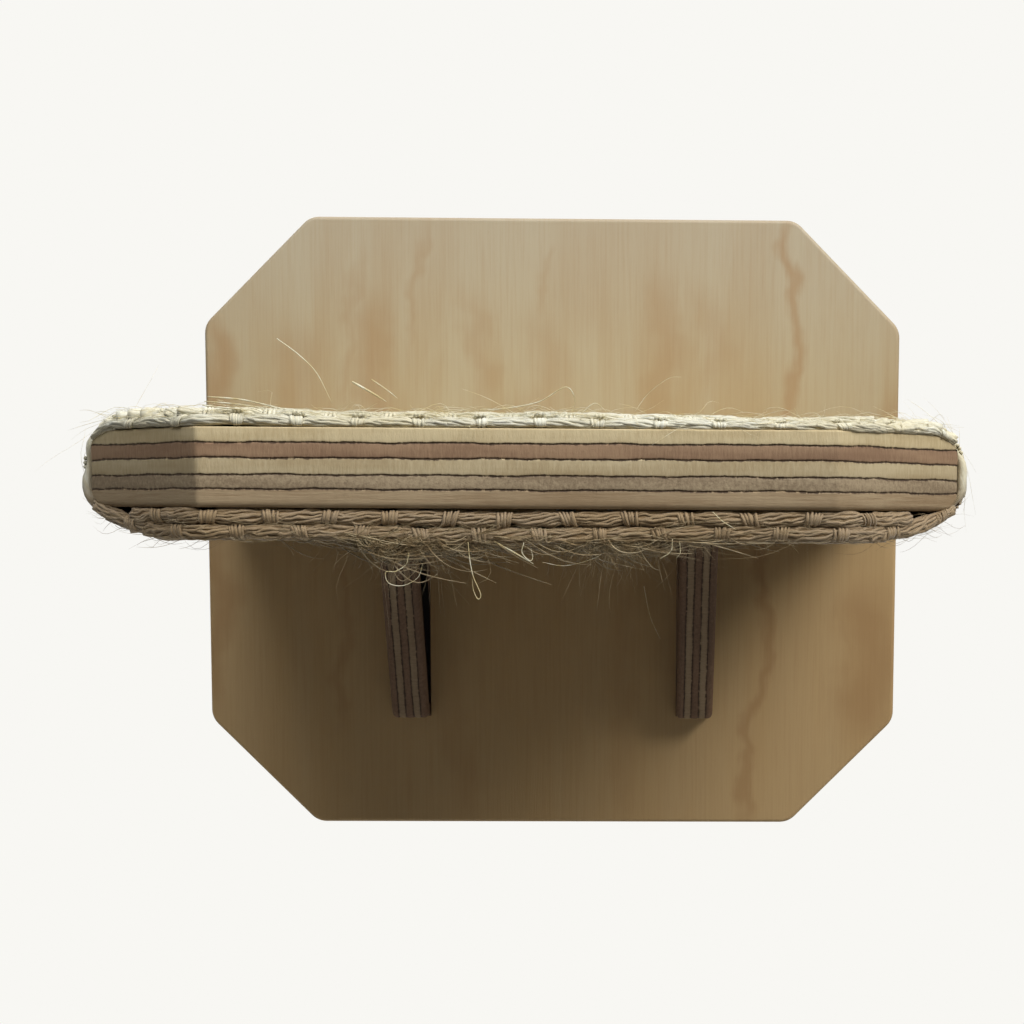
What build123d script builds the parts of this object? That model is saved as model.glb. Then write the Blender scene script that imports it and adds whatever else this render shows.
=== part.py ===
from build123d import *

import os
from dataclasses import dataclass
from math import sqrt

# Cat wall step. Millimetres, +X right, +Y into the wall, +Z up.
# The origin is the centre of the back plate's wall face.

# Back plate: an octagon, which is a rectangle with four 45 degree clipped corners.
plate_width = 229.0
plate_height = 200.0
plate_clip = 35.0
plate_corner_round = 7.0
plate_edge_round = 1.2
plate_veneers = [3.6, 3.6, 3.6, 3.6, 3.6]  # from the front face to the wall

# Step board: an oblong with its two front corners clipped at 45 degrees.
step_width = 209.0
step_depth = 210.0
step_clip = 32.0
step_height = 5.0  # its underside above the plate's centre
step_side_round = 5.0
step_front_round = 1.2
step_veneers = [3.45, 3.45, 3.75, 3.2, 4.15]  # from the top face down

# Gussets: upright on the plate, with a blunt foot and a straight slanted front.
gusset_spacing = 94.0
gusset_height = 69.0
gusset_top_length = 50.0
gusset_foot_length = 10.0
gusset_foot_round = 3.0
gusset_edge_round = 1.8
gusset_veneers = [2.4, 2.4, 2.4, 2.4, 2.4]  # from left to right

# Woven sisal mat, wrapped round the board from side to side.
mat_top_thickness = 4.0
mat_side_thickness = 3.0
mat_under_thickness = 7.0  # two layers, because the ends are turned back
mat_top_round = 12.0
mat_under_run = 28.0  # underneath, it draws up to the board's sides in a long ellipse
mat_under_rise = 12.0
mat_front_inset = 0.5
mat_back_gap = 0.5
mat_seam_x = 14.0  # the two ends meet under the board, right of the middle
mat_seam_gap = 1.0
mat_slit_gap = 0.6  # all round each gusset


@dataclass
class ScrewSize:
    """A countersunk wood screw: diameters over thread, core, shank and head, and lengths."""

    thread: float
    core: float
    shank: float
    head: float
    length: float
    thread_length: float
    pitch: float
    recess: float


step_screw = ScrewSize(4.0, 2.5, 2.9, 8.0, 45.0, 27.0, 1.8, 4.4)
gusset_screw = ScrewSize(3.5, 2.2, 2.5, 7.0, 35.0, 22.0, 1.6, 3.8)
hanger_screw = ScrewSize(3.0, 1.9, 2.1, 5.6, 12.0, 9.0, 1.35, 3.0)
screw_rim = 0.2
screw_recess_width = 0.9
screw_recess_depth = 1.3

# Where the screws are.
step_screw_spacing = 80.0
step_screw_count = 3
gusset_rear_screw_drops = [24.0, 47.0]  # below the board's underside
gusset_top_screw_reaches = [16.0, 36.0]  # in front of the plate
head_sink = 0.3
thread_gap = 0.05
shank_hole_gap = 0.2
pilot_end_gap = 0.5

# Keyhole hanger plates let into the back of the plate.
hanger_from_side = 39.5  # the plates' middles, from the back plate's side edges
hanger_from_top = 48.0  # and from its top edge
hanger_width = 16.0
hanger_length = 44.0
hanger_thickness = 1.6
hanger_corner_round = 3.0
hanger_recess_gap = 0.2
hanger_sink = 0.2
hanger_fixing_spacing = 35.0
keyhole_entry_width = 10.0
keyhole_slot_width = 5.0
keyhole_drop = 6.0  # the entry's centre below the plate's centre
keyhole_rise = 7.0  # the slot's last centre above the plate's centre
head_pocket_width = 12.0
head_pocket_margin = 5.5  # past the two ends of the keyhole's centre line
head_pocket_depth = 8.2

# Staples that hold the two ends of the mat under the board.
staple_crown = 10.0
staple_leg = 12.0
staple_wire_width = 1.0
staple_wire_thickness = 0.6
staple_gap = 0.05
staple_from_seam = 6.0
staple_pitch = 38.0
staple_count = 5
staple_first = 22.0  # from the board's front edge

# Worked out from the sizes above.
plate_thickness = sum(plate_veneers)
step_thickness = sum(step_veneers)
gusset_thickness = sum(gusset_veneers)
step_back = -plate_thickness
step_front = step_back - step_depth
step_top = step_height + step_thickness
step_middle = step_height + step_thickness / 2
gusset_foot = step_height - gusset_height
mat_bottom = step_height - mat_under_thickness
mat_top = step_top + mat_top_thickness
mat_half_width = step_width / 2 + mat_side_thickness
gusset_places = [-gusset_spacing / 2, gusset_spacing / 2]
hanger_places = [
    side * (plate_width / 2 - hanger_from_side) for side in (-1, 1)
]
hanger_height = plate_height / 2 - hanger_from_top

# The face towards the wall, the board's back edge, and the board's two faces.
INTO_PLATE = (0, 1, 0)
DOWNWARDS = (0, 0, 1)


def export(part, name):
    """Labels one finished piece and writes its file."""
    part.label = name
    export_step(part, f"parts/{name}.step")


def plan_outline(half_width, front, back, clip):
    """The corners of an oblong seen from above, with its two front corners clipped."""
    return [
        (-half_width, back),
        (-half_width, front + clip),
        (-half_width + clip, front),
        (half_width - clip, front),
        (half_width, front + clip),
        (half_width, back),
    ]


def export_plies(board, name, veneers, first_face):
    """Cuts a solid board into its veneers, and writes each as a piece of its own.

    first_face is the plane of the first veneer's outer face, with its normal pointing out.
    """
    depth = 0.0
    for number, veneer in enumerate(veneers, start=1):
        with BuildPart() as ply:
            add(board)
            if number > 1:
                split(bisect_by=first_face.offset(-depth), keep=Keep.BOTTOM)
            if number < len(veneers):
                split(bisect_by=first_face.offset(-depth - veneer), keep=Keep.TOP)
        export(ply.part, f"{name}_ply_{number}")
        depth += veneer


def make_screw(size):
    """A wood screw, head up with its top at the origin, with a ridged thread and a cross recess."""
    thread_start = size.length - size.thread_length
    turns = int((size.thread_length - size.thread) / size.pitch)
    profile = [
        (0, 0),
        (size.head / 2, 0),
        (size.head / 2, -screw_rim),
        (size.shank / 2, -screw_rim - (size.head - size.shank) / 2),
        (size.shank / 2, -thread_start),
    ]
    for turn in range(turns):
        root = -thread_start - turn * size.pitch - size.pitch / 4
        profile.append((size.core / 2, root))
        profile.append((size.thread / 2, root - size.pitch / 2))
    profile.append((size.core / 2, -thread_start - turns * size.pitch - size.pitch / 4))
    profile.append((0, -size.length))
    with BuildPart() as screw:
        with BuildSketch(Plane.XZ):
            with BuildLine():
                Polyline(*profile, close=True)
            make_face()
        revolve(axis=Axis.Z)
        for arm in [
            (size.recess, screw_recess_width),
            (screw_recess_width, size.recess),
        ]:
            with BuildSketch():
                Rectangle(*arm)
            extrude(amount=-screw_recess_depth, mode=Mode.SUBTRACT)
    return screw.part


def countersunk_hole(size, sink, depth):
    """The clearance hole of a screw at the present place, with room for its sunk head."""
    CounterSinkHole(
        radius=size.thread / 2 + shank_hole_gap,
        counter_sink_radius=size.head / 2 + sink + screw_rim + thread_gap,
        counter_sink_angle=90,
        depth=depth,
    )


def pilot_hole(size, used):
    """The hole that a screw's thread cuts, where the first part of it, used, is in another piece."""
    Hole(radius=size.thread / 2 + thread_gap, depth=size.length - used + pilot_end_gap)


def screw_group(size, places, sink):
    """Alike screws as one group: one at each plane, whose origin is where the screw goes in."""
    with BuildPart() as group:
        for place in places:
            with Locations(place.offset(-sink)):
                add(make_screw(size))
    return group.part


# Where each screw goes in, on the face that its head is sunk into.
step_screw_places = [
    Plane((x.position.X, 0, step_middle), x_dir=(1, 0, 0), z_dir=INTO_PLATE)
    for x in GridLocations(step_screw_spacing, 0, step_screw_count, 1)
]
gusset_rear_places = [
    Plane((x, 0, step_height - drop), x_dir=(1, 0, 0), z_dir=INTO_PLATE)
    for x in gusset_places
    for drop in gusset_rear_screw_drops
]
gusset_top_places = [
    Plane((x, step_back - reach, step_top), x_dir=(1, 0, 0), z_dir=DOWNWARDS)
    for x in gusset_places
    for reach in gusset_top_screw_reaches
]
hanger_screw_places = [
    Plane(
        (x, -hanger_sink, hanger_height + side * hanger_fixing_spacing / 2),
        x_dir=(1, 0, 0),
        z_dir=INTO_PLATE,
    )
    for x in hanger_places
    for side in (-1, 1)
]
staple_places = [
    (mat_seam_x + side * staple_from_seam, step_front + staple_first + row * staple_pitch)
    for side in (-1, 1)
    for row in range(staple_count)
]

os.makedirs("parts", exist_ok=True)

# Back plate, whole, with its screw holes, hanger recesses and pockets for the wall screws' heads.
with BuildPart() as back_plate:
    with BuildSketch(Plane.XZ):
        Rectangle(plate_width, plate_height)
        with Locations(
            *[
                Location((x * plate_width / 2, z * plate_height / 2), 45)
                for x in (-1, 1)
                for z in (-1, 1)
            ]
        ):
            Rectangle(plate_clip * sqrt(2), plate_clip * sqrt(2), mode=Mode.SUBTRACT)
    extrude(amount=plate_thickness)
    fillet(back_plate.edges().filter_by(Axis.Y), radius=plate_corner_round)
    faces_across = back_plate.faces().filter_by(Axis.Y)
    fillet(faces_across.edges(), radius=plate_edge_round)
    for place in step_screw_places:
        with Locations(place):
            countersunk_hole(step_screw, head_sink, plate_thickness)
    for place in gusset_rear_places:
        with Locations(place):
            countersunk_hole(gusset_screw, head_sink, plate_thickness)
    recess_depth = hanger_thickness + hanger_sink
    with BuildSketch(Plane.XZ):
        with Locations(*[(x, hanger_height) for x in hanger_places]):
            RectangleRounded(
                hanger_width + 2 * hanger_recess_gap,
                hanger_length + 2 * hanger_recess_gap,
                hanger_corner_round + hanger_recess_gap,
            )
    extrude(amount=recess_depth, mode=Mode.SUBTRACT)
    pocket_low = -keyhole_drop - head_pocket_margin
    pocket_high = keyhole_rise + head_pocket_margin
    with BuildSketch(Plane.XZ):
        with Locations(
            *[(x, hanger_height + (pocket_low + pocket_high) / 2) for x in hanger_places]
        ):
            SlotOverall(pocket_high - pocket_low, head_pocket_width, rotation=90)
    extrude(amount=head_pocket_depth, mode=Mode.SUBTRACT)
    for place in hanger_screw_places:
        with Locations(place.offset(-hanger_thickness)):
            pilot_hole(hanger_screw, hanger_thickness)
export_plies(back_plate.part, "back_plate", plate_veneers, Plane.XZ.offset(plate_thickness))

# Step board, whole: a rounded section, trimmed to the clipped outline, then its holes.
with BuildPart() as step_board:
    with BuildSketch(Plane.XZ.offset(-step_back)):
        with Locations((0, step_middle)):
            RectangleRounded(step_width, step_thickness, step_side_round)
    extrude(amount=step_depth)
    with BuildSketch(Plane.XY.offset(step_height)):
        with BuildLine():
            Polyline(*plan_outline(step_width / 2, step_front, step_back, step_clip), close=True)
        make_face()
    extrude(amount=step_thickness, mode=Mode.INTERSECT)
    front_face = step_board.faces().sort_by(Axis.Y)[0]
    fillet(front_face.edges().sort_by(Axis.Z)[0], radius=step_front_round)
    for place in step_screw_places:
        with Locations(place.offset(-plate_thickness)):
            pilot_hole(step_screw, plate_thickness + head_sink)
    for place in gusset_top_places:
        with Locations(place):
            countersunk_hole(gusset_screw, head_sink, step_thickness)
    for x, y in staple_places:
        for leg in (-1, 1):
            leg_middle = y + leg * (staple_crown - staple_wire_width) / 2
            with BuildSketch(Plane.XY.offset(step_height)):
                with Locations((x, leg_middle)):
                    Rectangle(
                        staple_wire_thickness + 2 * staple_gap,
                        staple_wire_width + 2 * staple_gap,
                    )
            extrude(
                amount=staple_leg - mat_under_thickness + pilot_end_gap,
                mode=Mode.SUBTRACT,
            )
export_plies(step_board.part, "step_board", step_veneers, Plane.XY.offset(step_top))

# Gussets, each whole with its pilot holes, then cut into veneers.
for side, middle in zip(("left", "right"), gusset_places):
    with BuildPart() as gusset:
        with BuildSketch(Plane.YZ.offset(middle)) as gusset_side:
            with BuildLine():
                Polyline(
                    (step_back, step_height),
                    (step_back, gusset_foot),
                    (step_back - gusset_foot_length, gusset_foot),
                    (step_back - gusset_top_length, step_height),
                    close=True,
                )
            make_face()
            # In the sketch's own plane, x runs towards the wall and y runs up.
            toe = gusset_side.vertices().sort_by(Axis.Y)[:2].sort_by(Axis.X)[0]
            fillet(toe, radius=gusset_foot_round)
        extrude(amount=gusset_thickness / 2, both=True)
        side_faces = gusset.faces().filter_by(Axis.X)
        open_edges = side_faces.edges().filter_by(
            lambda edge: edge.center().Y < step_back - 1 and edge.center().Z < step_height - 1
        )
        fillet(open_edges, radius=gusset_edge_round)
        for drop in gusset_rear_screw_drops:
            with Locations(
                Plane((middle, step_back, step_height - drop), (1, 0, 0), INTO_PLATE)
            ):
                pilot_hole(gusset_screw, plate_thickness + head_sink)
        for reach in gusset_top_screw_reaches:
            with Locations(
                Plane((middle, step_back - reach, step_height), (1, 0, 0), DOWNWARDS)
            ):
                pilot_hole(gusset_screw, step_thickness + head_sink)
    left_face = Plane(
        (middle - gusset_thickness / 2, 0, 0), x_dir=(0, 1, 0), z_dir=(-1, 0, 0)
    )
    export_plies(gusset.part, f"{side}_gusset", gusset_veneers, left_face)

# Sisal mat: a rounded band round the board, with a seam and two slits underneath.
with BuildPart() as sisal_cover:
    mat_length = step_depth - mat_front_inset - mat_back_gap
    with BuildSketch(Plane.XZ.offset(-step_back + mat_back_gap)):
        with BuildLine():
            Line((0, mat_bottom), (mat_half_width - mat_under_run, mat_bottom))
            EllipticalCenterArc(
                (mat_half_width - mat_under_run, mat_bottom + mat_under_rise),
                mat_under_run,
                mat_under_rise,
                start_angle=-90,
                arc_size=90,
            )
            Line(
                (mat_half_width, mat_bottom + mat_under_rise),
                (mat_half_width, mat_top - mat_top_round),
            )
            CenterArc(
                (mat_half_width - mat_top_round, mat_top - mat_top_round), mat_top_round, 0, 90
            )
            Line((mat_half_width - mat_top_round, mat_top), (0, mat_top))
            mirror(about=Plane.YZ)
        make_face()
        with Locations((0, step_middle)):
            RectangleRounded(
                step_width, step_thickness, step_side_round, mode=Mode.SUBTRACT
            )
    extrude(amount=mat_length)
    # The clip is cut along the board's own clip, set back by the same inset.
    mat_clip = mat_side_thickness + step_clip + mat_front_inset * (sqrt(2) - 1)
    mat_front = step_front + mat_front_inset
    mat_back = step_back - mat_back_gap
    with BuildSketch(Plane.XY.offset(mat_bottom)):
        with BuildLine():
            Polyline(*plan_outline(mat_half_width, mat_front, mat_back, mat_clip), close=True)
        make_face()
    extrude(amount=mat_top - mat_bottom, mode=Mode.INTERSECT)
    with BuildSketch(Plane.XY.offset(mat_bottom)):
        with Locations((mat_seam_x, (mat_front + mat_back) / 2)):
            Rectangle(mat_seam_gap, 2 * mat_length)
        slit_length = gusset_top_length + mat_slit_gap
        with Locations(*[(x, step_back - slit_length / 2) for x in gusset_places]):
            Rectangle(gusset_thickness + 2 * mat_slit_gap, slit_length)
        for x, y in staple_places:
            for leg in (-1, 1):
                with Locations((x, y + leg * (staple_crown - staple_wire_width) / 2)):
                    Rectangle(
                        staple_wire_thickness + 2 * staple_gap,
                        staple_wire_width + 2 * staple_gap,
                    )
    extrude(amount=mat_under_thickness, mode=Mode.SUBTRACT)
export(sisal_cover.part, "sisal_cover")

# Screws, one group for each kind.
export(screw_group(step_screw, step_screw_places, head_sink), "step_screws")
export(
    screw_group(gusset_screw, gusset_rear_places + gusset_top_places, head_sink),
    "gusset_screws",
)
export(screw_group(hanger_screw, hanger_screw_places, 0), "hanger_screws")

# Staples: a flat wire bent square, with its crown against the mat.
with BuildPart() as mat_staples:
    for x, y in staple_places:
        with BuildSketch(Plane.YZ.offset(x)):
            with Locations((y, mat_bottom - staple_wire_width / 2 + staple_leg / 2)):
                Rectangle(staple_crown, staple_leg + staple_wire_width)
            with Locations((y, mat_bottom + staple_leg / 2)):
                Rectangle(
                    staple_crown - 2 * staple_wire_width, staple_leg, mode=Mode.SUBTRACT
                )
        extrude(amount=staple_wire_thickness / 2, both=True)
export(mat_staples.part, "mat_staples")

# Keyhole hanger plates: the round entry below, the slot above it.
for side, x in zip(("left", "right"), hanger_places):
    with BuildPart() as hanger:
        with BuildSketch(Plane.XZ.offset(hanger_sink)):
            with Locations((x, hanger_height)):
                RectangleRounded(hanger_width, hanger_length, hanger_corner_round)
            with Locations((x, hanger_height - keyhole_drop)):
                Circle(keyhole_entry_width / 2, mode=Mode.SUBTRACT)
            with Locations((x, hanger_height + (keyhole_rise - keyhole_drop) / 2)):
                SlotCenterToCenter(
                    keyhole_rise + keyhole_drop,
                    keyhole_slot_width,
                    rotation=90,
                    mode=Mode.SUBTRACT,
                )
        extrude(amount=hanger_thickness)
        for place in hanger_screw_places:
            if place.origin.X * x > 0:
                with Locations(place):
                    countersunk_hole(hanger_screw, 0, hanger_thickness)
    export(hanger.part, f"hanger_plate_{side}")
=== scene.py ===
"""Looks of a cat wall step: veneered plywood, a woven sisal mat, and its steel fixings.

Metres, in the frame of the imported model: +X right, +Y into the wall, +Z up.
"""

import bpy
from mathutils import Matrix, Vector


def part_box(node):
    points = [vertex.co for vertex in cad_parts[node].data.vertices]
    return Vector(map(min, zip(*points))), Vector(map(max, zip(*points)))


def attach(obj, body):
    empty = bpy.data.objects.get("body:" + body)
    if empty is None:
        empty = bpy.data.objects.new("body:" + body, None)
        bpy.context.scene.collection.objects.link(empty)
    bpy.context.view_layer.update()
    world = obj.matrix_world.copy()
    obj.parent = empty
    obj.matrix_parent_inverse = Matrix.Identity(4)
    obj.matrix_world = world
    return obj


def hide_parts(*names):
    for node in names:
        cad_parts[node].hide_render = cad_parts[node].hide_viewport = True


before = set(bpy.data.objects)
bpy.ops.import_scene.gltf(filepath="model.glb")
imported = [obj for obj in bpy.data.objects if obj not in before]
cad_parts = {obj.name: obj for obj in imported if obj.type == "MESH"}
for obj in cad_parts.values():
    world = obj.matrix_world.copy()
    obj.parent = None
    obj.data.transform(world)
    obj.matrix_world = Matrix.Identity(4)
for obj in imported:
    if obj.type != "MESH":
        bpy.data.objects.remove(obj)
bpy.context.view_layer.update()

import logging
import math
from dataclasses import dataclass, field
from enum import Enum
from typing import Callable, Sequence

import bpy
import numpy as np
from mathutils import Matrix, Vector

LOG = logging.getLogger("cat_wall_step")
MM = 0.001
BODY = "root"

Socket = bpy.types.NodeSocket
Colour = tuple[float, float, float]


def linear(red: int, green: int, blue: int) -> Colour:
    """A colour given as it looks on a screen, 0 to 255, in the linear values that nodes take.

    Args:
        red, green, blue: the screen values.

    Returns:
        The three linear values.
    """
    screen = np.array([red, green, blue]) / 255.0
    curve = np.where(screen <= 0.04045, screen / 12.92, ((screen + 0.055) / 1.055) ** 2.4)
    return tuple(float(value) for value in curve)


class Graph:
    """A new material with short calls that add nodes to it."""

    def __init__(self, name: str) -> None:
        """Starts the material with its principled shader.

        Args:
            name: the material's name.
        """
        self.material = bpy.data.materials.new(name)
        self.material.use_nodes = True
        self.tree = self.material.node_tree
        self.shader = next(n for n in self.tree.nodes if n.type == "BSDF_PRINCIPLED")

    def feed(self, socket: Socket, value: object) -> None:
        """Links a socket, or sets a number or colour, on an input.

        Args:
            socket: the input.
            value: an output socket, a number, or a colour.
        """
        if isinstance(value, bpy.types.NodeSocket):
            self.tree.links.new(value, socket)
        elif isinstance(value, tuple) and socket.type == "RGBA":
            socket.default_value = (*value, 1.0)
        else:
            socket.default_value = value

    def node(self, kind: str, **settings: object) -> bpy.types.Node:
        """Adds a node.

        Args:
            kind: its type without the ShaderNode prefix.
            settings: its properties.

        Returns:
            The node.
        """
        made = self.tree.nodes.new("ShaderNode" + kind)
        for key, value in settings.items():
            setattr(made, key, value)
        return made

    def place(self) -> Socket:
        """The point on the object, in metres."""
        return self.node("TexCoord").outputs["Object"]

    def uv(self, name: str) -> Socket:
        """The named surface map."""
        return self.node("UVMap", uv_map=name).outputs[0]

    def painted(self, name: str) -> Socket:
        """The named number that the mesh carries."""
        return self.node("Attribute", attribute_name=name).outputs["Fac"]

    def scaled(self, vector: Socket, scale: Sequence[float], turn: float = 0.0) -> Socket:
        """A vector scaled along its axes, after a turn about Z.

        Args:
            vector: what is scaled.
            scale: one factor for each axis.
            turn: radians.

        Returns:
            The scaled vector.
        """
        mapping = self.node("Mapping")
        self.feed(mapping.inputs["Vector"], vector)
        mapping.inputs["Rotation"].default_value[2] = turn
        mapping.inputs["Scale"].default_value = tuple(scale)
        return mapping.outputs[0]

    def noise(
        self,
        vector: Socket,
        scale: float = 1.0,
        detail: float = 2.0,
        rough: float = 0.5,
        warp: float = 0.0,
    ) -> Socket:
        """Fractal noise between 0 and 1.

        Args:
            vector: where it is read.
            scale: repeats per unit.
            detail: octaves.
            rough: how strong the fine octaves are.
            warp: distortion.

        Returns:
            The noise value.
        """
        made = self.node("TexNoise")
        self.feed(made.inputs["Vector"], vector)
        made.inputs["Scale"].default_value = scale
        made.inputs["Detail"].default_value = detail
        made.inputs["Roughness"].default_value = rough
        made.inputs["Distortion"].default_value = warp
        return made.outputs[0]

    def math(self, operation: str, first: object, second: object = 0.0) -> Socket:
        """One sum on numbers, such as ADD or MULTIPLY.

        Args:
            operation: its name, such as ADD.
            first: a number or a socket.
            second: the same.

        Returns:
            The result.
        """
        made = self.node("Math", operation=operation)
        self.feed(made.inputs[0], first)
        self.feed(made.inputs[1], second)
        return made.outputs[0]

    def between(
        self, value: Socket, low: float, high: float, start: float = 0.0, end: float = 1.0
    ) -> Socket:
        """A smooth step of a value.

        Args:
            value: what is stepped.
            low, high: where the step starts and ends.
            start, end: the result before and after it.

        Returns:
            The stepped value.
        """
        made = self.node("MapRange", interpolation_type="SMOOTHSTEP")
        self.feed(made.inputs[0], value)
        for number, setting in enumerate((low, high, start, end), start=1):
            made.inputs[number].default_value = setting
        return made.outputs[0]

    def mix(self, factor: object, first: object, second: object, blend: str = "MIX") -> Socket:
        """Two colours mixed.

        Args:
            factor: the share of the second.
            first, second: colours or sockets.
            blend: the blend mode.

        Returns:
            The mixed colour.
        """
        made = self.node("Mix", data_type="RGBA", blend_type=blend)
        self.feed(made.inputs[0], factor)
        self.feed(made.inputs[6], first)
        self.feed(made.inputs[7], second)
        return made.outputs[2]

    def parts(self, vector: Socket) -> tuple[Socket, Socket, Socket]:
        """The X, Y and Z of a vector.

        Args:
            vector: what is taken apart.

        Returns:
            The three sockets.
        """
        made = self.node("SeparateXYZ")
        self.feed(made.inputs[0], vector)
        return made.outputs[0], made.outputs[1], made.outputs[2]

    def bump(self, height: Socket, distance: float, strength: float = 1.0) -> None:
        """Adds relief from a height between 0 and 1, on top of any before it.

        Args:
            height: the relief.
            distance: what a height of 1 stands for, in metres.
            strength: how much of it shows.
        """
        made = self.node("Bump")
        made.inputs["Strength"].default_value = strength
        made.inputs["Distance"].default_value = distance
        self.feed(made.inputs["Height"], height)
        links = self.shader.inputs["Normal"].links
        if links:
            self.feed(made.inputs["Normal"], links[0].from_socket)
        self.feed(self.shader.inputs["Normal"], made.outputs[0])

    def finish(self, colour: object, roughness: object, **fixed: float) -> bpy.types.Material:
        """Sets the shader's colour, roughness and fixed numbers.

        Args:
            colour: base colour.
            roughness: roughness.
            fixed: other inputs, with underscores for spaces.

        Returns:
            The material.
        """
        self.feed(self.shader.inputs["Base Color"], colour)
        self.feed(self.shader.inputs["Roughness"], roughness)
        for key, value in fixed.items():
            self.shader.inputs[key.replace("_", " ")].default_value = value
        return self.material


class Cut(Enum):
    """How the grain of a veneer meets the edge that shows it."""

    FINE = "the fibres end at the edge, as fine upright marks"
    COARSE = "the fibres end at the edge, as open speckled pores"
    ALONG = "the fibres run along the edge, as long soft lines"


@dataclass(frozen=True)
class Grain:
    """The size and strength of one cut's pattern: repeats per mm, and how much it shows."""

    lines: tuple[float, float]
    flecks: tuple[float, float]
    contrast: float
    pores: float


GRAINS = {
    Cut.FINE: Grain((1.5, 0.22), (2.2, 0.7), 0.55, 0.14),
    Cut.COARSE: Grain((1.1, 0.8), (2.1, 2.4), 0.75, 0.62),
    Cut.ALONG: Grain((0.08, 1.5), (0.5, 2.6), 0.6, 0.10),
}


@dataclass(frozen=True)
class VeneerEdge:
    """The sawn edge of one veneer, with the dark glue beside it."""

    name: str
    pale: Colour
    dark: Colour
    cut: Cut
    glue: Colour = linear(58, 42, 30)

    def material(self) -> bpy.types.Material:
        """Builds the finish on the "edge" map, in metres along and across the edge.

        Returns:
            The material. Its "seam" number is the distance from the nearest glue line, in mm.
        """
        g, grain = Graph(self.name), GRAINS[self.cut]
        edge = g.scaled(g.uv("edge"), (1 / MM, 1 / MM, 1))
        broad = g.noise(g.scaled(edge, (0.03, 0.22, 1)), detail=3)
        lines = g.noise(g.scaled(edge, (*grain.lines, 1)), detail=4, rough=0.66)
        fleck = g.noise(g.scaled(edge, (*grain.flecks, 1)), detail=3, rough=0.72)
        mixed = g.math("ADD", g.math("MULTIPLY", lines, grain.contrast), g.math("MULTIPLY", broad, 0.7))
        middle = 0.5 * (grain.contrast + 0.7)
        colour = g.mix(g.between(mixed, middle - 0.16, middle + 0.16), self.dark, self.pale)
        pores = g.between(fleck, 0.56, 0.72, 0.0, grain.pores)
        colour = g.mix(pores, colour, tuple(0.45 * value for value in self.dark))
        glints = g.between(fleck, 0.42, 0.28, 0.0, 0.8 * grain.pores)
        colour = g.mix(glints, colour, tuple(min(1.0, 1.3 * value) for value in self.pale))
        # The glue line wanders in width, and in some stretches torn wood bridges it.
        seam = g.painted("seam")
        wander = g.noise(g.scaled(edge, (0.9, 0.3, 1)), detail=4, rough=0.7)
        reach = g.math("ADD", seam, g.between(wander, 0.3, 0.7, -0.13, 0.13))
        stretch = g.between(g.noise(g.scaled(edge, (0.035, 0.2, 1)), detail=2), 0.46, 0.56)
        bridge = g.between(g.noise(g.scaled(edge, (0.42, 0.25, 1)), detail=3, rough=0.6), 0.57, 0.62)
        shown = g.math("SUBTRACT", 1.0, g.math("MULTIPLY", stretch, bridge))
        glue = g.math("MULTIPLY", g.between(reach, 0.12, 0.32, 0.92, 0.0), shown)
        stain = g.math("MULTIPLY", g.between(reach, 0.25, 0.75, 0.16, 0.0), shown)
        colour = g.mix(stain, colour, tuple(0.4 * value for value in self.dark))
        colour = g.mix(glue, colour, self.glue)
        g.bump(lines, 0.00008)
        g.bump(fleck, 0.00009, 0.8)
        return g.finish(colour, g.between(fleck, 0.2, 0.8, 0.62, 0.82), Specular_IOR_Level=0.28)


@dataclass(frozen=True)
class GrowthLine:
    """One soft brown line or patch in the plate's face, in mm on the plate."""

    across: float
    width: float
    strength: float
    low: float
    high: float
    lean: float = 0.0


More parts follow.
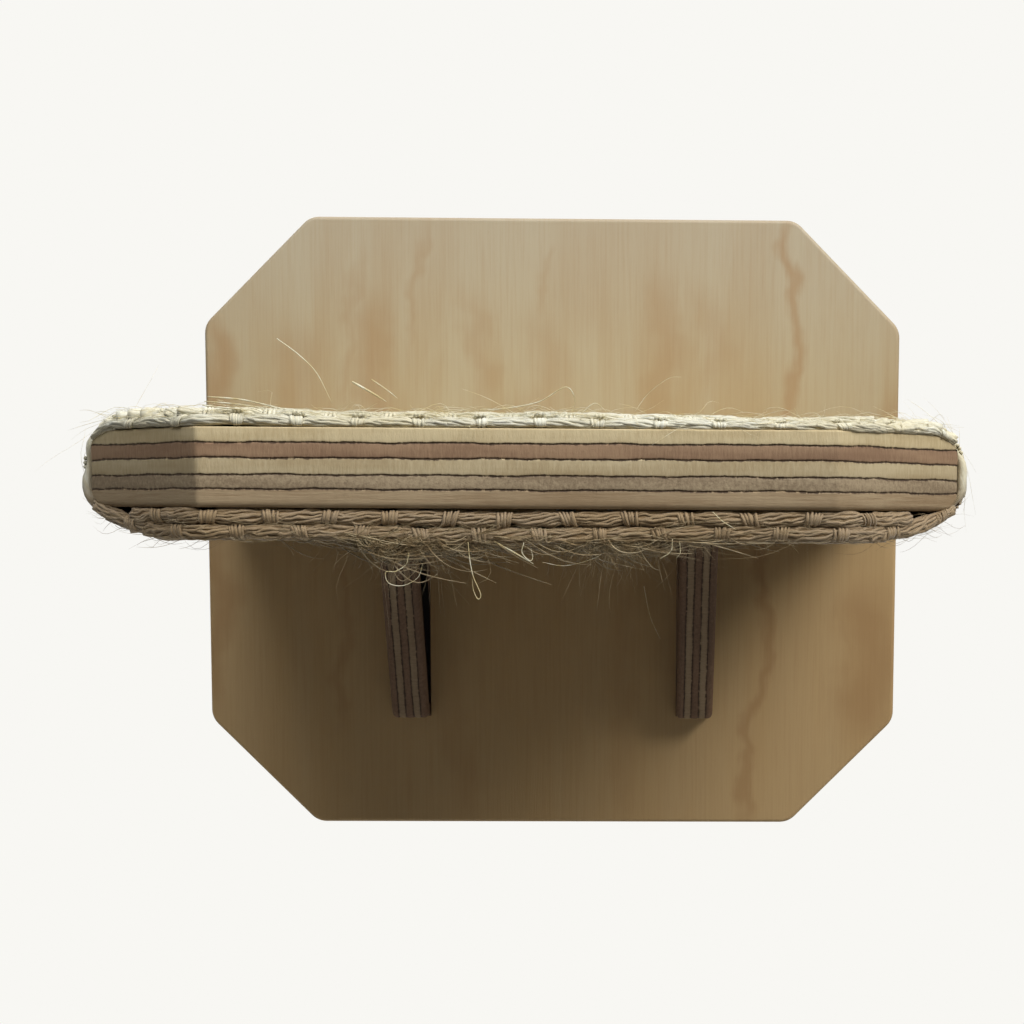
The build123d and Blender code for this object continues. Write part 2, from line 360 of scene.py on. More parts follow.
@dataclass(frozen=True)
class PlateFace:
    """The sanded face of the back plate: pale upright grain with soft orange-brown growth lines."""

    pale: Colour = linear(178, 163, 131)
    warm: Colour = linear(170, 148, 110)
    brown: Colour = linear(154, 118, 76)
    # painted reflection: the paler grey of a window's sheen, mixed into the top of the face
    painted_reflection_grey: Colour = linear(180, 171, 154)
    honey: Colour = linear(188, 156, 108)
    lines: tuple[GrowthLine, ...] = (
        GrowthLine(-113.0, 7.0, 0.75, -60.0, 66.0),
        GrowthLine(-83.0, 11.0, 0.40, 20.0, 62.0),
        GrowthLine(-70.0, 3.0, 0.40, 40.0, 84.0, 0.04),
        GrowthLine(-54.0, 9.0, 0.62, 28.0, 72.0, -0.10),
        GrowthLine(-45.0, 2.5, 0.40, 60.0, 98.0),
        GrowthLine(-24.0, 4.5, 0.42, 42.0, 74.0),
        GrowthLine(-14.0, 2.5, 0.35, 66.0, 90.0, 0.15),
        GrowthLine(-5.0, 9.0, 0.34, 30.0, 68.0),
        GrowthLine(10.0, 13.0, 0.22, 62.0, 99.0),
        GrowthLine(34.0, 5.5, 0.42, 34.0, 80.0, 0.05),
        GrowthLine(57.0, 6.0, 0.36, 48.0, 76.0, -0.10),
        GrowthLine(72.0, 3.2, 0.80, -99.0, 99.0, 0.075),
        GrowthLine(108.0, 9.0, 0.70, 30.0, 76.0, 0.22),
        GrowthLine(107.5, 11.0, 0.80, -70.0, -22.0, 0.05),
        GrowthLine(98.0, 2.4, 0.45, -68.0, -24.0, 0.0),
        GrowthLine(-71.0, 2.6, 0.50, -66.0, -14.0, 0.02),
        GrowthLine(-30.0, 6.0, 0.30, -98.0, -40.0),
        GrowthLine(24.0, 5.0, 0.30, -98.0, -20.0, 0.04),
    )

    def material(self) -> bpy.types.Material:
        """Builds the finish on the object's own place, with the grain along Z.

        Each growth line is 1 at its middle and fades to 0 at its width and past its two ends.

        Returns:
            The material.
        """
        g = Graph("plate_face")
        place = g.scaled(g.place(), (1 / MM, 1 / MM, 1 / MM))
        across, _, height = g.parts(place)
        drift = g.noise(g.scaled(place, (0.012, 0.0, 0.007)), detail=3)
        bands = g.noise(g.scaled(place, (0.05, 0.0, 0.006)), detail=4, rough=0.55, warp=0.6)
        fibre = g.noise(g.scaled(place, (1.2, 0.5, 0.03)), detail=5, rough=0.65)
        pore = g.noise(g.scaled(place, (2.6, 1.0, 0.14)), detail=3, rough=0.7)
        sway = g.noise(g.scaled(place, (0.02, 0.0, 0.028)), detail=3)
        ragged = g.noise(g.scaled(place, (0.25, 0.0, 0.045)), detail=4, rough=0.6)
        bent = g.math("ADD", across, g.between(sway, 0.25, 0.75, -6.0, 6.0))
        bent = g.math("ADD", bent, g.between(ragged, 0.25, 0.75, -1.2, 1.2))
        total: object = 0.0
        for line in self.lines:
            middle = g.math("ADD", g.math("MULTIPLY", height, line.lean), line.across)
            gap = g.math("ABSOLUTE", g.math("SUBTRACT", bent, middle))
            mask = g.between(gap, 0.0, 1.25 * line.width, 0.8 * line.strength, 0.0)
            mask = g.math("MULTIPLY", mask, g.between(height, line.low - 9.0, line.low + 9.0))
            mask = g.math("MULTIPLY", mask, g.between(height, line.high + 9.0, line.high - 9.0))
            total = g.math("MAXIMUM", total, mask)
        colour = g.mix(g.between(bands, 0.40, 0.68), self.pale, self.warm)
        colour = g.mix(g.between(drift, 0.35, 0.7, 0.0, 0.4), colour, self.warm)
        colour = g.mix(g.between(height, 40.0, -20.0, 0.0, 0.7), colour, self.honey)
        # Painted reflection: towards the top the face turns paler and greyer, as under a window's sheen.
        colour = g.mix(g.between(height, 30.0, 105.0, 0.0, 0.55), colour, self.painted_reflection_grey)
        colour = g.mix(g.math("MULTIPLY", total, 0.85), colour, self.brown)
        colour = g.mix(g.between(fibre, 0.40, 0.75, 0.0, 0.20), colour, self.brown)
        colour = g.mix(g.between(pore, 0.60, 0.75, 0.0, 0.16), colour, self.brown)
        g.bump(fibre, 0.00006, 0.6)
        g.bump(pore, 0.00005, 0.5)
        return g.finish(colour, g.between(fibre, 0.2, 0.8, 0.44, 0.60), Specular_IOR_Level=0.35)


@dataclass(frozen=True)
class PlyInPlate:
    """A veneer of the back plate, whose edge and back show, with glue where plies meet."""

    name: str
    pale: Colour
    dark: Colour
    glue_planes: tuple[float, ...]
    cut: Cut

    def material(self) -> bpy.types.Material:
        """Builds the finish on the object's own place, with glue lines at given depths.

        Returns:
            The material.
        """
        g = Graph(self.name)
        place = g.scaled(g.place(), (1 / MM, 1 / MM, 1 / MM))
        depth = g.parts(place)[1]
        stretch = (1.4, 0.9, 0.05) if self.cut is Cut.ALONG else (0.9, 1.6, 0.9)
        fibre = g.noise(g.scaled(place, stretch), detail=5, rough=0.65)
        broad = g.noise(g.scaled(place, (0.04, 0.04, 0.008)), detail=3, warp=0.8)
        figure = g.math("ADD", g.math("MULTIPLY", fibre, 0.5), g.math("MULTIPLY", broad, 0.6))
        grain = g.between(figure, 0.4, 0.75)
        colour = g.mix(grain, self.pale, self.dark)
        wander = g.between(g.noise(g.scaled(place, (0.3, 0.2, 0.3)), detail=3), 0.3, 0.7, -0.18, 0.18)
        for plane in self.glue_planes:
            gap = g.math("ABSOLUTE", g.math("SUBTRACT", depth, plane / MM))
            line = g.between(g.math("ADD", gap, wander), 0.10, 0.34, 0.92, 0.0)
            colour = g.mix(line, colour, linear(52, 36, 25))
        g.bump(fibre, 0.00010, 0.7)
        return g.finish(colour, g.between(fibre, 0.2, 0.8, 0.55, 0.78), Specular_IOR_Level=0.28)


@dataclass(frozen=True)
class SisalYarn:
    """Sisal yarn: bundles of stiff pale fibres, greenish white, and multiplied darker and browner below:
    partly natural straw, partly painted shade.
    """

    name: str
    light: Colour = linear(230, 230, 216)
    straw: Colour = linear(214, 205, 172)
    shade: Colour = linear(196, 184, 150)
    # partly the underside's natural straw colour, partly painted shade and warm painted bounce light,
    # multiplied in below the board
    straw_and_painted_shade: Colour = (0.46, 0.35, 0.26)
    strands: float = 9.0

    def material(self) -> bpy.types.Material:
        """Builds the finish on the "yarn" map: metres along, turns round.

        Returns:
            The material. Its "depth" number is 0 on the yarn's crown and 1 down in the weave.
        """
        g = Graph(self.name)
        along, around, _ = g.parts(g.uv("yarn"))
        turned = g.math("ADD", around, g.math("MULTIPLY", along, 55.0))
        lay = g.node("CombineXYZ")
        g.feed(lay.inputs[0], g.math("MULTIPLY", along, 140.0))
        g.feed(lay.inputs[1], g.math("MULTIPLY", turned, self.strands))
        strand = g.noise(lay.outputs[0], detail=4, rough=0.6)
        fine = g.noise(g.scaled(lay.outputs[0], (0.7, 4.5, 1)), detail=4, rough=0.7)
        place = g.scaled(g.place(), (1 / MM, 1 / MM, 1 / MM))
        patch = g.noise(place, 0.055, detail=3)
        colour = g.mix(g.between(patch, 0.35, 0.65, 0.0, 0.7), self.light, self.straw)
        colour = g.mix(g.between(strand, 0.42, 0.68, 0.0, 0.75), colour, self.straw)
        colour = g.mix(g.between(fine, 0.52, 0.74, 0.0, 0.6), colour, self.shade)
        colour = g.mix(g.between(g.painted("depth"), 0.25, 1.0, 0.0, 0.85), colour, self.shade)
        # Below the board's middle the yarn is multiplied darker and browner: partly natural straw, partly
        # painted shade and warm bounce light.
        height = g.parts(place)[2]
        colour = g.mix(g.between(height, 14.0, 4.0, 0.0, 1.0), colour, self.straw_and_painted_shade, "MULTIPLY")
        g.bump(strand, 0.00025, 0.7)
        g.bump(fine, 0.00012, 0.7)
        return g.finish(colour, 0.62, Specular_IOR_Level=0.35, Sheen_Weight=0.15, Sheen_Roughness=0.5)


@dataclass(frozen=True)
class LooseFibre:
    """One kind of stray sisal fibre."""

    name: str
    light: Colour
    straw: Colour

    def material(self) -> bpy.types.Material:
        """Builds the finish on the object's own place.

        Returns:
            The material.
        """
        g = Graph(self.name)
        tone = g.noise(g.scaled(g.place(), (1 / MM, 1 / MM, 1 / MM)), 0.35, detail=2)
        colour = g.mix(g.between(tone, 0.35, 0.65), self.light, self.straw)
        return g.finish(colour, g.between(tone, 0.3, 0.7, 0.42, 0.6), Specular_IOR_Level=0.4)


@dataclass(frozen=True)
class MatBacking:
    """The mat's woven ground cloth, which shows dark between the yarns."""

    base: Colour = linear(132, 112, 76)
    deep: Colour = linear(70, 55, 34)

    def material(self) -> bpy.types.Material:
        """Builds a fine plain weave on the object's own place.

        Returns:
            The material.
        """
        g = Graph("sisal_backing")
        place = g.scaled(g.place(), (1 / MM, 1 / MM, 1 / MM))
        across, back, _ = g.parts(place)
        wefts = g.math("SINE", g.math("MULTIPLY", across, 2.6))
        warps = g.math("SINE", g.math("MULTIPLY", back, 2.6))
        weave = g.math("MULTIPLY", wefts, warps)
        worn = g.noise(place, 0.9, detail=4, rough=0.7)
        colour = g.mix(g.between(weave, -0.5, 0.6), self.deep, self.base)
        colour = g.mix(g.between(worn, 0.45, 0.7, 0.0, 0.5), colour, self.deep)
        g.bump(g.between(weave, -1.0, 1.0), 0.0003, 0.8)
        return g.finish(colour, 0.85, Specular_IOR_Level=0.2)


@dataclass(frozen=True)
class PlatedSteel:
    """Zinc-plated steel with fine scratches and cloudy patches."""

    name: str
    bright: Colour
    cloudy: Colour
    roughness: float

    def material(self) -> bpy.types.Material:
        """Builds the finish on the object's own place.

        Returns:
            The material.
        """
        g = Graph(self.name)
        place = g.scaled(g.place(), (1 / MM, 1 / MM, 1 / MM))
        cloud = g.noise(place, 0.5, detail=4, rough=0.6)
        scratch = g.noise(g.scaled(place, (6.0, 6.0, 0.4), 0.4), detail=3, rough=0.7)
        colour = g.mix(g.between(cloud, 0.4, 0.66), self.bright, self.cloudy)
        rough = g.math("ADD", g.between(scratch, 0.35, 0.7, 0.0, 0.22), self.roughness)
        g.bump(scratch, 0.00002, 0.5)
        return g.finish(colour, rough, Metallic=1.0)


@dataclass(frozen=True)
class StudioFloor:
    """A pale floor that fades into the background."""

    base: Colour = linear(216, 214, 209)
    background: Colour = linear(248, 247, 243)
    fade_from: float = 0.35
    fade_to: float = 0.75

    def material(self) -> bpy.types.Material:
        """Builds the floor, which keeps shadows in its middle and looks like the background at its rim.

        Returns:
            The material.
        """
        g = Graph("studio_floor")
        far = g.node("VectorMath", operation="LENGTH")
        g.feed(far.inputs[0], g.scaled(g.place(), (1, 1, 0)))
        rim = g.between(far.outputs["Value"], self.fade_from, self.fade_to)
        speck = g.noise(g.place(), 900.0, detail=2)
        g.finish(g.mix(g.between(speck, 0.3, 0.7, 0.0, 0.04), self.base, (0.6, 0.6, 0.58)), 0.8)
        glow = g.node("Emission")
        g.feed(glow.inputs[0], self.background)
        path = g.node("LightPath")
        seen = g.math("MAXIMUM", path.outputs["Is Camera Ray"], path.outputs["Is Glossy Ray"])
        seen = g.math("MAXIMUM", seen, path.outputs["Is Transmission Ray"])
        blend = g.node("MixShader")
        g.feed(blend.inputs[0], g.math("MULTIPLY", rim, seen))
        g.feed(blend.inputs[1], g.shader.outputs[0])
        g.feed(blend.inputs[2], glow.outputs[0])
        output = next(n for n in g.tree.nodes if n.type == "OUTPUT_MATERIAL")
        g.feed(output.inputs["Surface"], blend.outputs[0])
        return g.material


def grid_faces(rows: int, columns: int, loop_rows: bool, loop_columns: bool) -> np.ndarray:
    """Quads over a grid of points numbered row by row.

    Args:
        rows, columns: the grid's size.
        loop_rows, loop_columns: whether its last row, or column, joins its first.

    Returns:
        An array of faces, four point numbers each.
    """
    row = np.arange(rows if loop_rows else rows - 1)[:, None]
    column = np.arange(columns if loop_columns else columns - 1)[None, :]
    next_row, next_column = (row + 1) % rows, (column + 1) % columns
    corners = (
        row * columns + column,
        row * columns + next_column,
        next_row * columns + next_column,
        next_row * columns + column,
    )
    return np.stack(np.broadcast_arrays(*corners), axis=-1).reshape(-1, 4)


@dataclass
class Shape:
    """Points, faces and what they carry, gathered before they become one mesh."""

    points: list[np.ndarray] = field(default_factory=list)
    faces: list[np.ndarray] = field(default_factory=list)
    caps: list[np.ndarray] = field(default_factory=list)
    uvs: list[np.ndarray] = field(default_factory=list)
    numbers: list[np.ndarray] = field(default_factory=list)
    count: int = 0

    def add(
        self,
        points: np.ndarray,
        faces: np.ndarray,
        uv: np.ndarray,
        number: np.ndarray,
        caps: Sequence[np.ndarray] = (),
    ) -> None:
        """Adds one surface.

        Args:
            points: (n, 3) places.
            faces: (m, k) point numbers within this surface.
            uv: (n, 2) map of each point.
            number: (n,) what each point carries.
            caps: closing faces of many corners.
        """
        self.points.append(points.reshape(-1, 3))
        self.faces.append(faces + self.count)
        self.caps.extend(cap + self.count for cap in caps)
        self.uvs.append(uv.reshape(-1, 2))
        self.numbers.append(number.reshape(-1))
        self.count += len(self.points[-1])

    def add_tubes(self, rings: np.ndarray, uv: np.ndarray, number: np.ndarray) -> None:
        """Adds closed tubes, with their faces turned outwards.

        Args:
            rings: (tubes, rings, sides, 3) points.
            uv: (tubes, rings, sides, 2) map.
            number: (tubes, rings, sides) what each point carries.
        """
        tubes, count, sides, _ = rings.shape
        centre = rings.mean(axis=2)
        turn = np.cross(rings[:, :, 1] - rings[:, :, 0], np.gradient(centre, axis=1))
        if np.sum(turn * (rings[:, :, 0] - centre)) < 0:
            rings, uv, number = rings[:, :, ::-1], uv[:, :, ::-1], number[:, :, ::-1]
        first = np.arange(tubes)[:, None] * count * sides
        walls = grid_faces(count, sides, False, True)[None] + first[:, :, None]
        ring = np.arange(sides)[None]
        ends = [*(first + ring[:, ::-1]), *(first + (count - 1) * sides + ring)]
        self.add(rings, walls.reshape(-1, 4), uv, number, ends)

    def build(self, name: str, material: bpy.types.Material, uv: str, number: str) -> bpy.types.Object:
        """Makes the object, smooth shaded, at the origin.

        Args:
            name: the piece's name.
            material: its finish.
            uv: the map's name.
            number: the name of what each point carries.

        Returns:
            The object, which rides on the body.
        """
        mesh = bpy.data.meshes.new(name)
        points = np.concatenate(self.points)
        faces = [row for block in self.faces for row in block.tolist()]
        faces.extend(cap.tolist() for cap in self.caps)
        mesh.from_pydata(points.tolist(), [], faces)
        corners = np.zeros(len(mesh.loops), dtype=np.int32)
        mesh.loops.foreach_get("vertex_index", corners)
        layer = mesh.uv_layers.new(name=uv)
        layer.data.foreach_set("uv", np.concatenate(self.uvs)[corners].astype(np.float32).ravel())
        carried = mesh.attributes.new(number, "FLOAT", "POINT")
        carried.data.foreach_set("value", np.concatenate(self.numbers).astype(np.float32))
        mesh.polygons.foreach_set("use_smooth", np.ones(len(mesh.polygons), dtype=bool))
        mesh.materials.append(material)
        mesh.validate()
        made = bpy.data.objects.new(name, mesh)
        bpy.context.scene.collection.objects.link(made)
        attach(made, BODY)
        return made


def tube_points(
    path: np.ndarray, across: np.ndarray, out: np.ndarray, width: np.ndarray, height: np.ndarray, sides: int
) -> np.ndarray:
    """A flattened tube: each ring is path + width*cos(a)*across + height*sin(a)*out.

    Args:
        path: (..., n, 3) centres.
        across, out: the ring's two directions at each centre.
        width, height: half sizes at each centre, or (..., n, sides) at each point.
        sides: points round the ring.

    Returns:
        (..., n, sides, 3) points.
    """
    angle = np.arange(sides) * 2 * np.pi / sides
    width = width[..., None] if width.ndim < path.ndim else width
    height = height[..., None] if height.ndim < path.ndim else height
    turned = (width * np.cos(angle))[..., None] * across[..., None, :]
    risen = (height * np.sin(angle))[..., None] * out[..., None, :]
    return path[..., None, :] + turned + risen


def waves(
    place: np.ndarray, length: float, longest: float, count: int, rng: np.random.Generator
) -> np.ndarray:
    """A wandering line that closes on itself: a sum of sines that fit a whole number of times.

    Args:
        place: where it is read, in metres.
        length: the length after which it repeats.
        longest: the longest wave.
        count: how many waves, each shorter and weaker than the last.
        rng: seeds the phases.

    Returns:
        Values of about -1 to 1.
    """
    total = np.zeros_like(place)
    for step in range(count):
        turns = max(1, round(length / longest * 1.7**step))
        phase = rng.uniform(0, 2 * np.pi)
        total += 0.75**step * np.sin(2 * np.pi * turns * place / length + phase)
    return total / 2.2


@dataclass
class Outline:
    """A closed curve in a plane as evenly spaced points, with its outward normals."""

    points: np.ndarray
    normals: np.ndarray
    along: np.ndarray
    length: float

    @classmethod
    def through(
        cls, corners: Sequence[tuple[float, float]], rounds: Sequence[float], spacing: float
    ) -> "Outline":
        """Straight runs between corners, counter-clockwise, each corner rounded by a parabola.

        Args:
            corners: the sharp corners.
            rounds: how far from each corner its rounding starts.
            spacing: the distance between points.

        Returns:
            The outline.
        """
        sharp = np.array(corners, dtype=float)
        before = np.roll(sharp, 1, axis=0) - sharp
        after = np.roll(sharp, -1, axis=0) - sharp
        before /= np.linalg.norm(before, axis=1, keepdims=True)
        after /= np.linalg.norm(after, axis=1, keepdims=True)
        share = np.linspace(0, 1, 9)[None, :, None]
        reach = np.array(rounds)[:, None, None]
        start = sharp[:, None, :] + before[:, None, :] * reach
        end = sharp[:, None, :] + after[:, None, :] * reach
        curve = (1 - share) ** 2 * start + 2 * share * (1 - share) * sharp[:, None, :] + share**2 * end
        line = curve.reshape(-1, 2)
        line = np.vstack([line, line[:1]])
        gone = np.concatenate([[0], np.cumsum(np.linalg.norm(np.diff(line, axis=0), axis=1))])
        count = int(gone[-1] / spacing)
        along = np.arange(count) * gone[-1] / count
        points = np.stack([np.interp(along, gone, line[:, axis]) for axis in (0, 1)], axis=1)
        tangent = np.roll(points, -1, axis=0) - np.roll(points, 1, axis=0)
        tangent /= np.linalg.norm(tangent, axis=1, keepdims=True)
        normals = np.stack([tangent[:, 1], -tangent[:, 0]], axis=1)
        return cls(points, normals, along, float(gone[-1]))


@dataclass
class VeneerStack:
    """Veneers that share one outline, each a closed solid with a worn, wavy edge.

    A point of the edge is outline + normal * -(round + groove + wear), at a height between two
    wavy boundaries that neighbouring veneers share.
    """

    nodes: list[str]
    outline: Outline
    levels: np.ndarray
    to_space: Callable[[np.ndarray, np.ndarray], np.ndarray]
    rounds: tuple[np.ndarray, np.ndarray]
    limit: Callable[[np.ndarray, np.ndarray], np.ndarray]
    waviness: float
    seed: int

    def rows(self, number: int) -> np.ndarray:
        """Heights of the edge's rows, as distances from the veneer's lower and upper faces.

        Args:
            number: which veneer, from the lowest.

        Returns:
            Shares of the veneer's thickness, from 0 to 1.
        """
        thickness = self.levels[number + 1] - self.levels[number]
        fine = np.array([0, 0.07, 0.15, 0.25, 0.4, 0.65, 1.0, 1.45]) * MM
        low = fine[fine < thickness / 2] / thickness
        return np.concatenate([low, [0.5], 1 - low[::-1]])

    def boundary(self, level: int) -> np.ndarray:
        """The wavy height of one boundary along the outline; the two outer faces are flat.

        Args:
            level: which boundary, counted from the lower face.

        Returns:
            (n,) heights, one for each point of the outline.
        """
        flat = np.full(len(self.outline.along), self.levels[level])
        if level in (0, len(self.levels) - 1):
            return flat
        rng = np.random.default_rng(self.seed * 100 + level)
        return flat + self.waviness * waves(self.outline.along, self.outline.length, 0.034, 7, rng)

    def shape(self, number: int) -> Shape:
        """One veneer: its edge, an inset ring on each face, and flat caps.

        Args:
            number: which veneer, from the lowest.

        Returns:
            The closed shape.
        """
        line = self.outline
        rng = np.random.default_rng(self.seed * 100 + 50 + number)
        share = self.rows(number)[:, None]
        low, high = self.boundary(number)[None, :], self.boundary(number + 1)[None, :]
        height = low + (high - low) * share
        last = len(self.levels) - 1
        under = height - low if number > 0 else np.full_like(height, 1.0)
        over = high - height if number < last - 1 else np.full_like(height, 1.0)
        seam = np.minimum(under, over)
        groove = 0.00022 * np.exp(-((seam / 0.00016) ** 2))
        wear = 0.00005 * waves(line.along, line.length, 0.011, 9, rng)[None, :]
        bulge = 0.00007 * np.sin(np.pi * share)
        round_low = self.rounding(height - self.levels[0], self.rounds[0])
        round_high = self.rounding(self.levels[-1] - height, self.rounds[1])
        inward = groove + wear - bulge + 0.00006 + round_low + round_high
        edge = line.points[None] - line.normals[None] * inward[..., None]
        rings = [(edge[0], height[0])] if number else self.face_rings(edge[0], height[0])
        faces = [(edge[-1], height[-1])] if number < last - 1 else self.face_rings(edge[-1], height[-1])
        stack = [*rings[::-1][:-1], *zip(edge, height), *faces[1:]]
        inner = line.points - line.normals * 0.0045
        stack = [(inner, np.full(len(inner), self.levels[number])), *stack]
        stack.append((inner, np.full(len(inner), self.levels[number + 1])))
        flat = np.stack([points for points, _ in stack])
        heights = np.stack([self.limit(points, level) for points, level in stack])
        count, around = heights.shape
        lead = len(rings)
        carried = np.full((count, around), 1.0)
        carried[lead : lead + len(height)] = seam
        made = Shape()
        uv = np.stack([np.broadcast_to(line.along, heights.shape), heights], axis=-1)
        points = self.to_space(flat, heights)
        loop = np.arange(around)
        made.add(
            points,
            grid_faces(count, around, False, True),
            uv,
            carried / MM,
            [loop[::-1], loop + (count - 1) * around],
        )
        return made

    @staticmethod
    def rounding(distance: np.ndarray, radius: np.ndarray) -> np.ndarray:
        """How far a quarter round takes the edge in, at a distance from the face.

        Args:
            distance: from the outer face.
            radius: of the round, along the outline.

        Returns:
            radius - sqrt(radius^2 - (radius - distance)^2) where the distance is less than radius.
        """
        left = np.clip(radius[None, :] - distance, 0, None)
        return radius[None, :] - np.sqrt(np.clip(radius[None, :] ** 2 - left**2, 0, None))

    def face_rings(self, edge: np.ndarray, level: np.ndarray) -> list[tuple[np.ndarray, np.ndarray]]:
        """Rings that step in from the edge over an outer face, so that its rounding shows."""
        steps = np.array([0, 0.4, 1.0, 1.8, 2.6, 3.4]) * MM
        return [(edge - self.outline.normals * step, level) for step in steps]

    def build(self, finishes: Sequence[bpy.types.Material]) -> list[bpy.types.Object]:
        """Makes every veneer, in place of its node.

        Args:
            finishes: one finish for each veneer.

        Returns:
            The pieces.
        """
        made = []
        for number, (node, finish) in enumerate(zip(self.nodes, finishes)):
            piece = self.shape(number).build(node.replace("_ply_", "_veneer_"), finish, "edge", "seam")
            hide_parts(node)
            made.append(piece)
        return made


@dataclass
class StepBoard:
    """The five-veneer board, with clipped front corners and rounded side edges."""

    clip: float = 32.0 * MM
    side_round: float = 5.0 * MM
    front_round: float = 1.2 * MM
    sanded: float = 0.35 * MM
    spacing: float = 0.6 * MM

    def __post_init__(self) -> None:
        """Reads the board's box from the frame."""
        boxes = [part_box(f"step_board_ply_{number}") for number in range(5, 0, -1)]
        self.half_width = boxes[0][1][0]
        self.front, self.back = boxes[0][0][1], boxes[0][1][1]
        self.levels = np.array([box[0][2] for box in boxes] + [boxes[-1][1][2]])
        self.bottom, self.top = float(self.levels[0]), float(self.levels[-1])

    def section(self, points: np.ndarray, height: np.ndarray) -> np.ndarray:
        """Keeps a height within the board's rounded section: top or bottom less a circle's drop.

        Args:
            points: (..., 2) places in plan.
            height: the heights wanted there.

        Returns:
            The heights, kept within the section.
        """
        beside = np.clip(np.abs(points[..., 0]) - (self.half_width - self.side_round), 0, self.side_round)
        drop = self.side_round - np.sqrt(self.side_round**2 - beside**2)
        return np.clip(height, self.bottom + drop, self.top - drop)

    def finishes(self) -> list[bpy.types.Material]:
        """The five edges, from the bottom veneer to the top one.

        Returns:
            One material for each veneer.
        """
        looks = [
            ("board_edge_bottom", linear(162, 143, 114), linear(140, 119, 91), Cut.ALONG),
            ("board_edge_grey", linear(164, 147, 120), linear(132, 115, 92), Cut.COARSE),
            ("board_edge_core", linear(188, 173, 140), linear(168, 150, 116), Cut.FINE),
            ("board_edge_red", linear(156, 129, 102), linear(134, 107, 84), Cut.FINE),
            ("board_edge_top", linear(208, 192, 154), linear(190, 171, 132), Cut.FINE),
        ]
        return [VeneerEdge(*look).material() for look in looks]

    def build(self) -> list[bpy.types.Object]:
        """Makes the five veneers.

        Returns:
            The veneers' objects.
        """
        half, clip = self.half_width, self.clip
        corners = [
            (half, self.back),
            (-half, self.back),
            (-half, self.front + clip),
            (-half + clip, self.front),
            (half - clip, self.front),
            (half, self.front + clip),
        ]
        line = Outline.through(corners, [0.3 * MM] * 2 + [0.8 * MM] * 4, self.spacing)
        facing = np.clip(-line.normals[:, 1] * 3, 0, 1)
        low = np.maximum(self.front_round * facing, 1e-6)
        high = np.maximum(self.sanded * facing, 1e-6)

        def to_space(flat: np.ndarray, height: np.ndarray) -> np.ndarray:
            """The outline lies in X and Y, and the thickness is along Z."""
            return np.concatenate([flat, height[..., None]], axis=-1)

        stack = VeneerStack(
            [f"step_board_ply_{number}" for number in range(5, 0, -1)],
            line,
            self.levels,
            to_space,
            (low, high),
            self.section,
            0.17 * MM,
            3,
        )
        return stack.build(self.finishes())


@dataclass
class Gusset:
    """One small upright bracket of five thin veneers, under the board."""

    side: str
    edge_round: float = 1.8 * MM
    foot_length: float = 10.0 * MM
    foot_round: float = 3.5 * MM
    spacing: float = 0.5 * MM

    def finishes(self) -> list[bpy.types.Material]:
        """The five edges, dark outside and in the middle, from left to right.

        Returns:
            One material for each veneer.
        """
        dark = (linear(114, 90, 70), linear(94, 73, 56), Cut.COARSE)
        light = (linear(146, 128, 103), linear(126, 107, 84), Cut.FINE)
        order = (dark, light, dark, light, dark)
        return [
            VeneerEdge(f"{self.side}_gusset_edge_{number}", *look).material()
            for number, look in enumerate(order, start=1)
        ]

    def build(self) -> list[bpy.types.Object]:
        """Makes the five veneers.

        Returns:
            The veneers' objects.
        """
        nodes = [f"{self.side}_gusset_ply_{number}" for number in range(1, 6)]
        boxes = [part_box(node) for node in nodes]
        levels = np.array([box[0][0] for box in boxes] + [boxes[-1][1][0]])
        front, back = boxes[2][0][1], boxes[2][1][1]
        foot, top = boxes[2][0][2], boxes[2][1][2]
        corners = [(back, foot), (back, top), (front, top), (back - self.foot_length, foot)]
        line = Outline.through(corners, [0.2 * MM, 0.2 * MM, 0.2 * MM, self.foot_round], self.spacing)
        open_side = (line.points[:, 0] < back - 0.5 * MM) & (line.points[:, 1] < top - 0.5 * MM)
        rounds = np.where(open_side, self.edge_round, 1e-6)

        def to_space(flat: np.ndarray, height: np.ndarray) -> np.ndarray:
            """The outline lies in Y and Z, and the thickness is along X."""
            return np.concatenate([height[..., None], flat], axis=-1)

        def within(_: np.ndarray, height: np.ndarray) -> np.ndarray:
            """A gusset's faces are flat, so a height stays as it is."""
            return height

        stack = VeneerStack(nodes, line, levels, to_space, (rounds, rounds), within, 0.09 * MM, 7)
        return stack.build(self.finishes())


@dataclass
class BackPlate:
    """The octagonal plate: its own solids, dressed veneer by veneer."""

    def dress(self) -> None:
        """Puts a finish on each veneer."""
        boxes = [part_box(f"back_plate_ply_{number}") for number in range(1, 6)]
        seams = [box[1][1] for box in boxes[:4]]
        pale = (linear(214, 192, 150), linear(186, 154, 108))
        brown = (linear(172, 142, 106), linear(134, 104, 72))
        looks = {
            2: PlyInPlate("plate_ply_2", *brown, (seams[0], seams[1]), Cut.COARSE),
            3: PlyInPlate("plate_ply_3", *pale, (seams[1], seams[2]), Cut.ALONG),
            4: PlyInPlate("plate_ply_4", *brown, (seams[2], seams[3]), Cut.COARSE),
            5: PlyInPlate("plate_ply_5", *pale, (seams[3],), Cut.ALONG),
        }
        dress("back_plate_ply_1", PlateFace().material())
        for number, look in looks.items():
            dress(f"back_plate_ply_{number}", look.material())


def dress(node: str, material: bpy.types.Material) -> None:
    """Gives a node that stays its finish.

    Args:
        node: the node's name.
        material: the finish.
    """
    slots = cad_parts[node].data.materials
    slots.clear()
    slots.append(material)


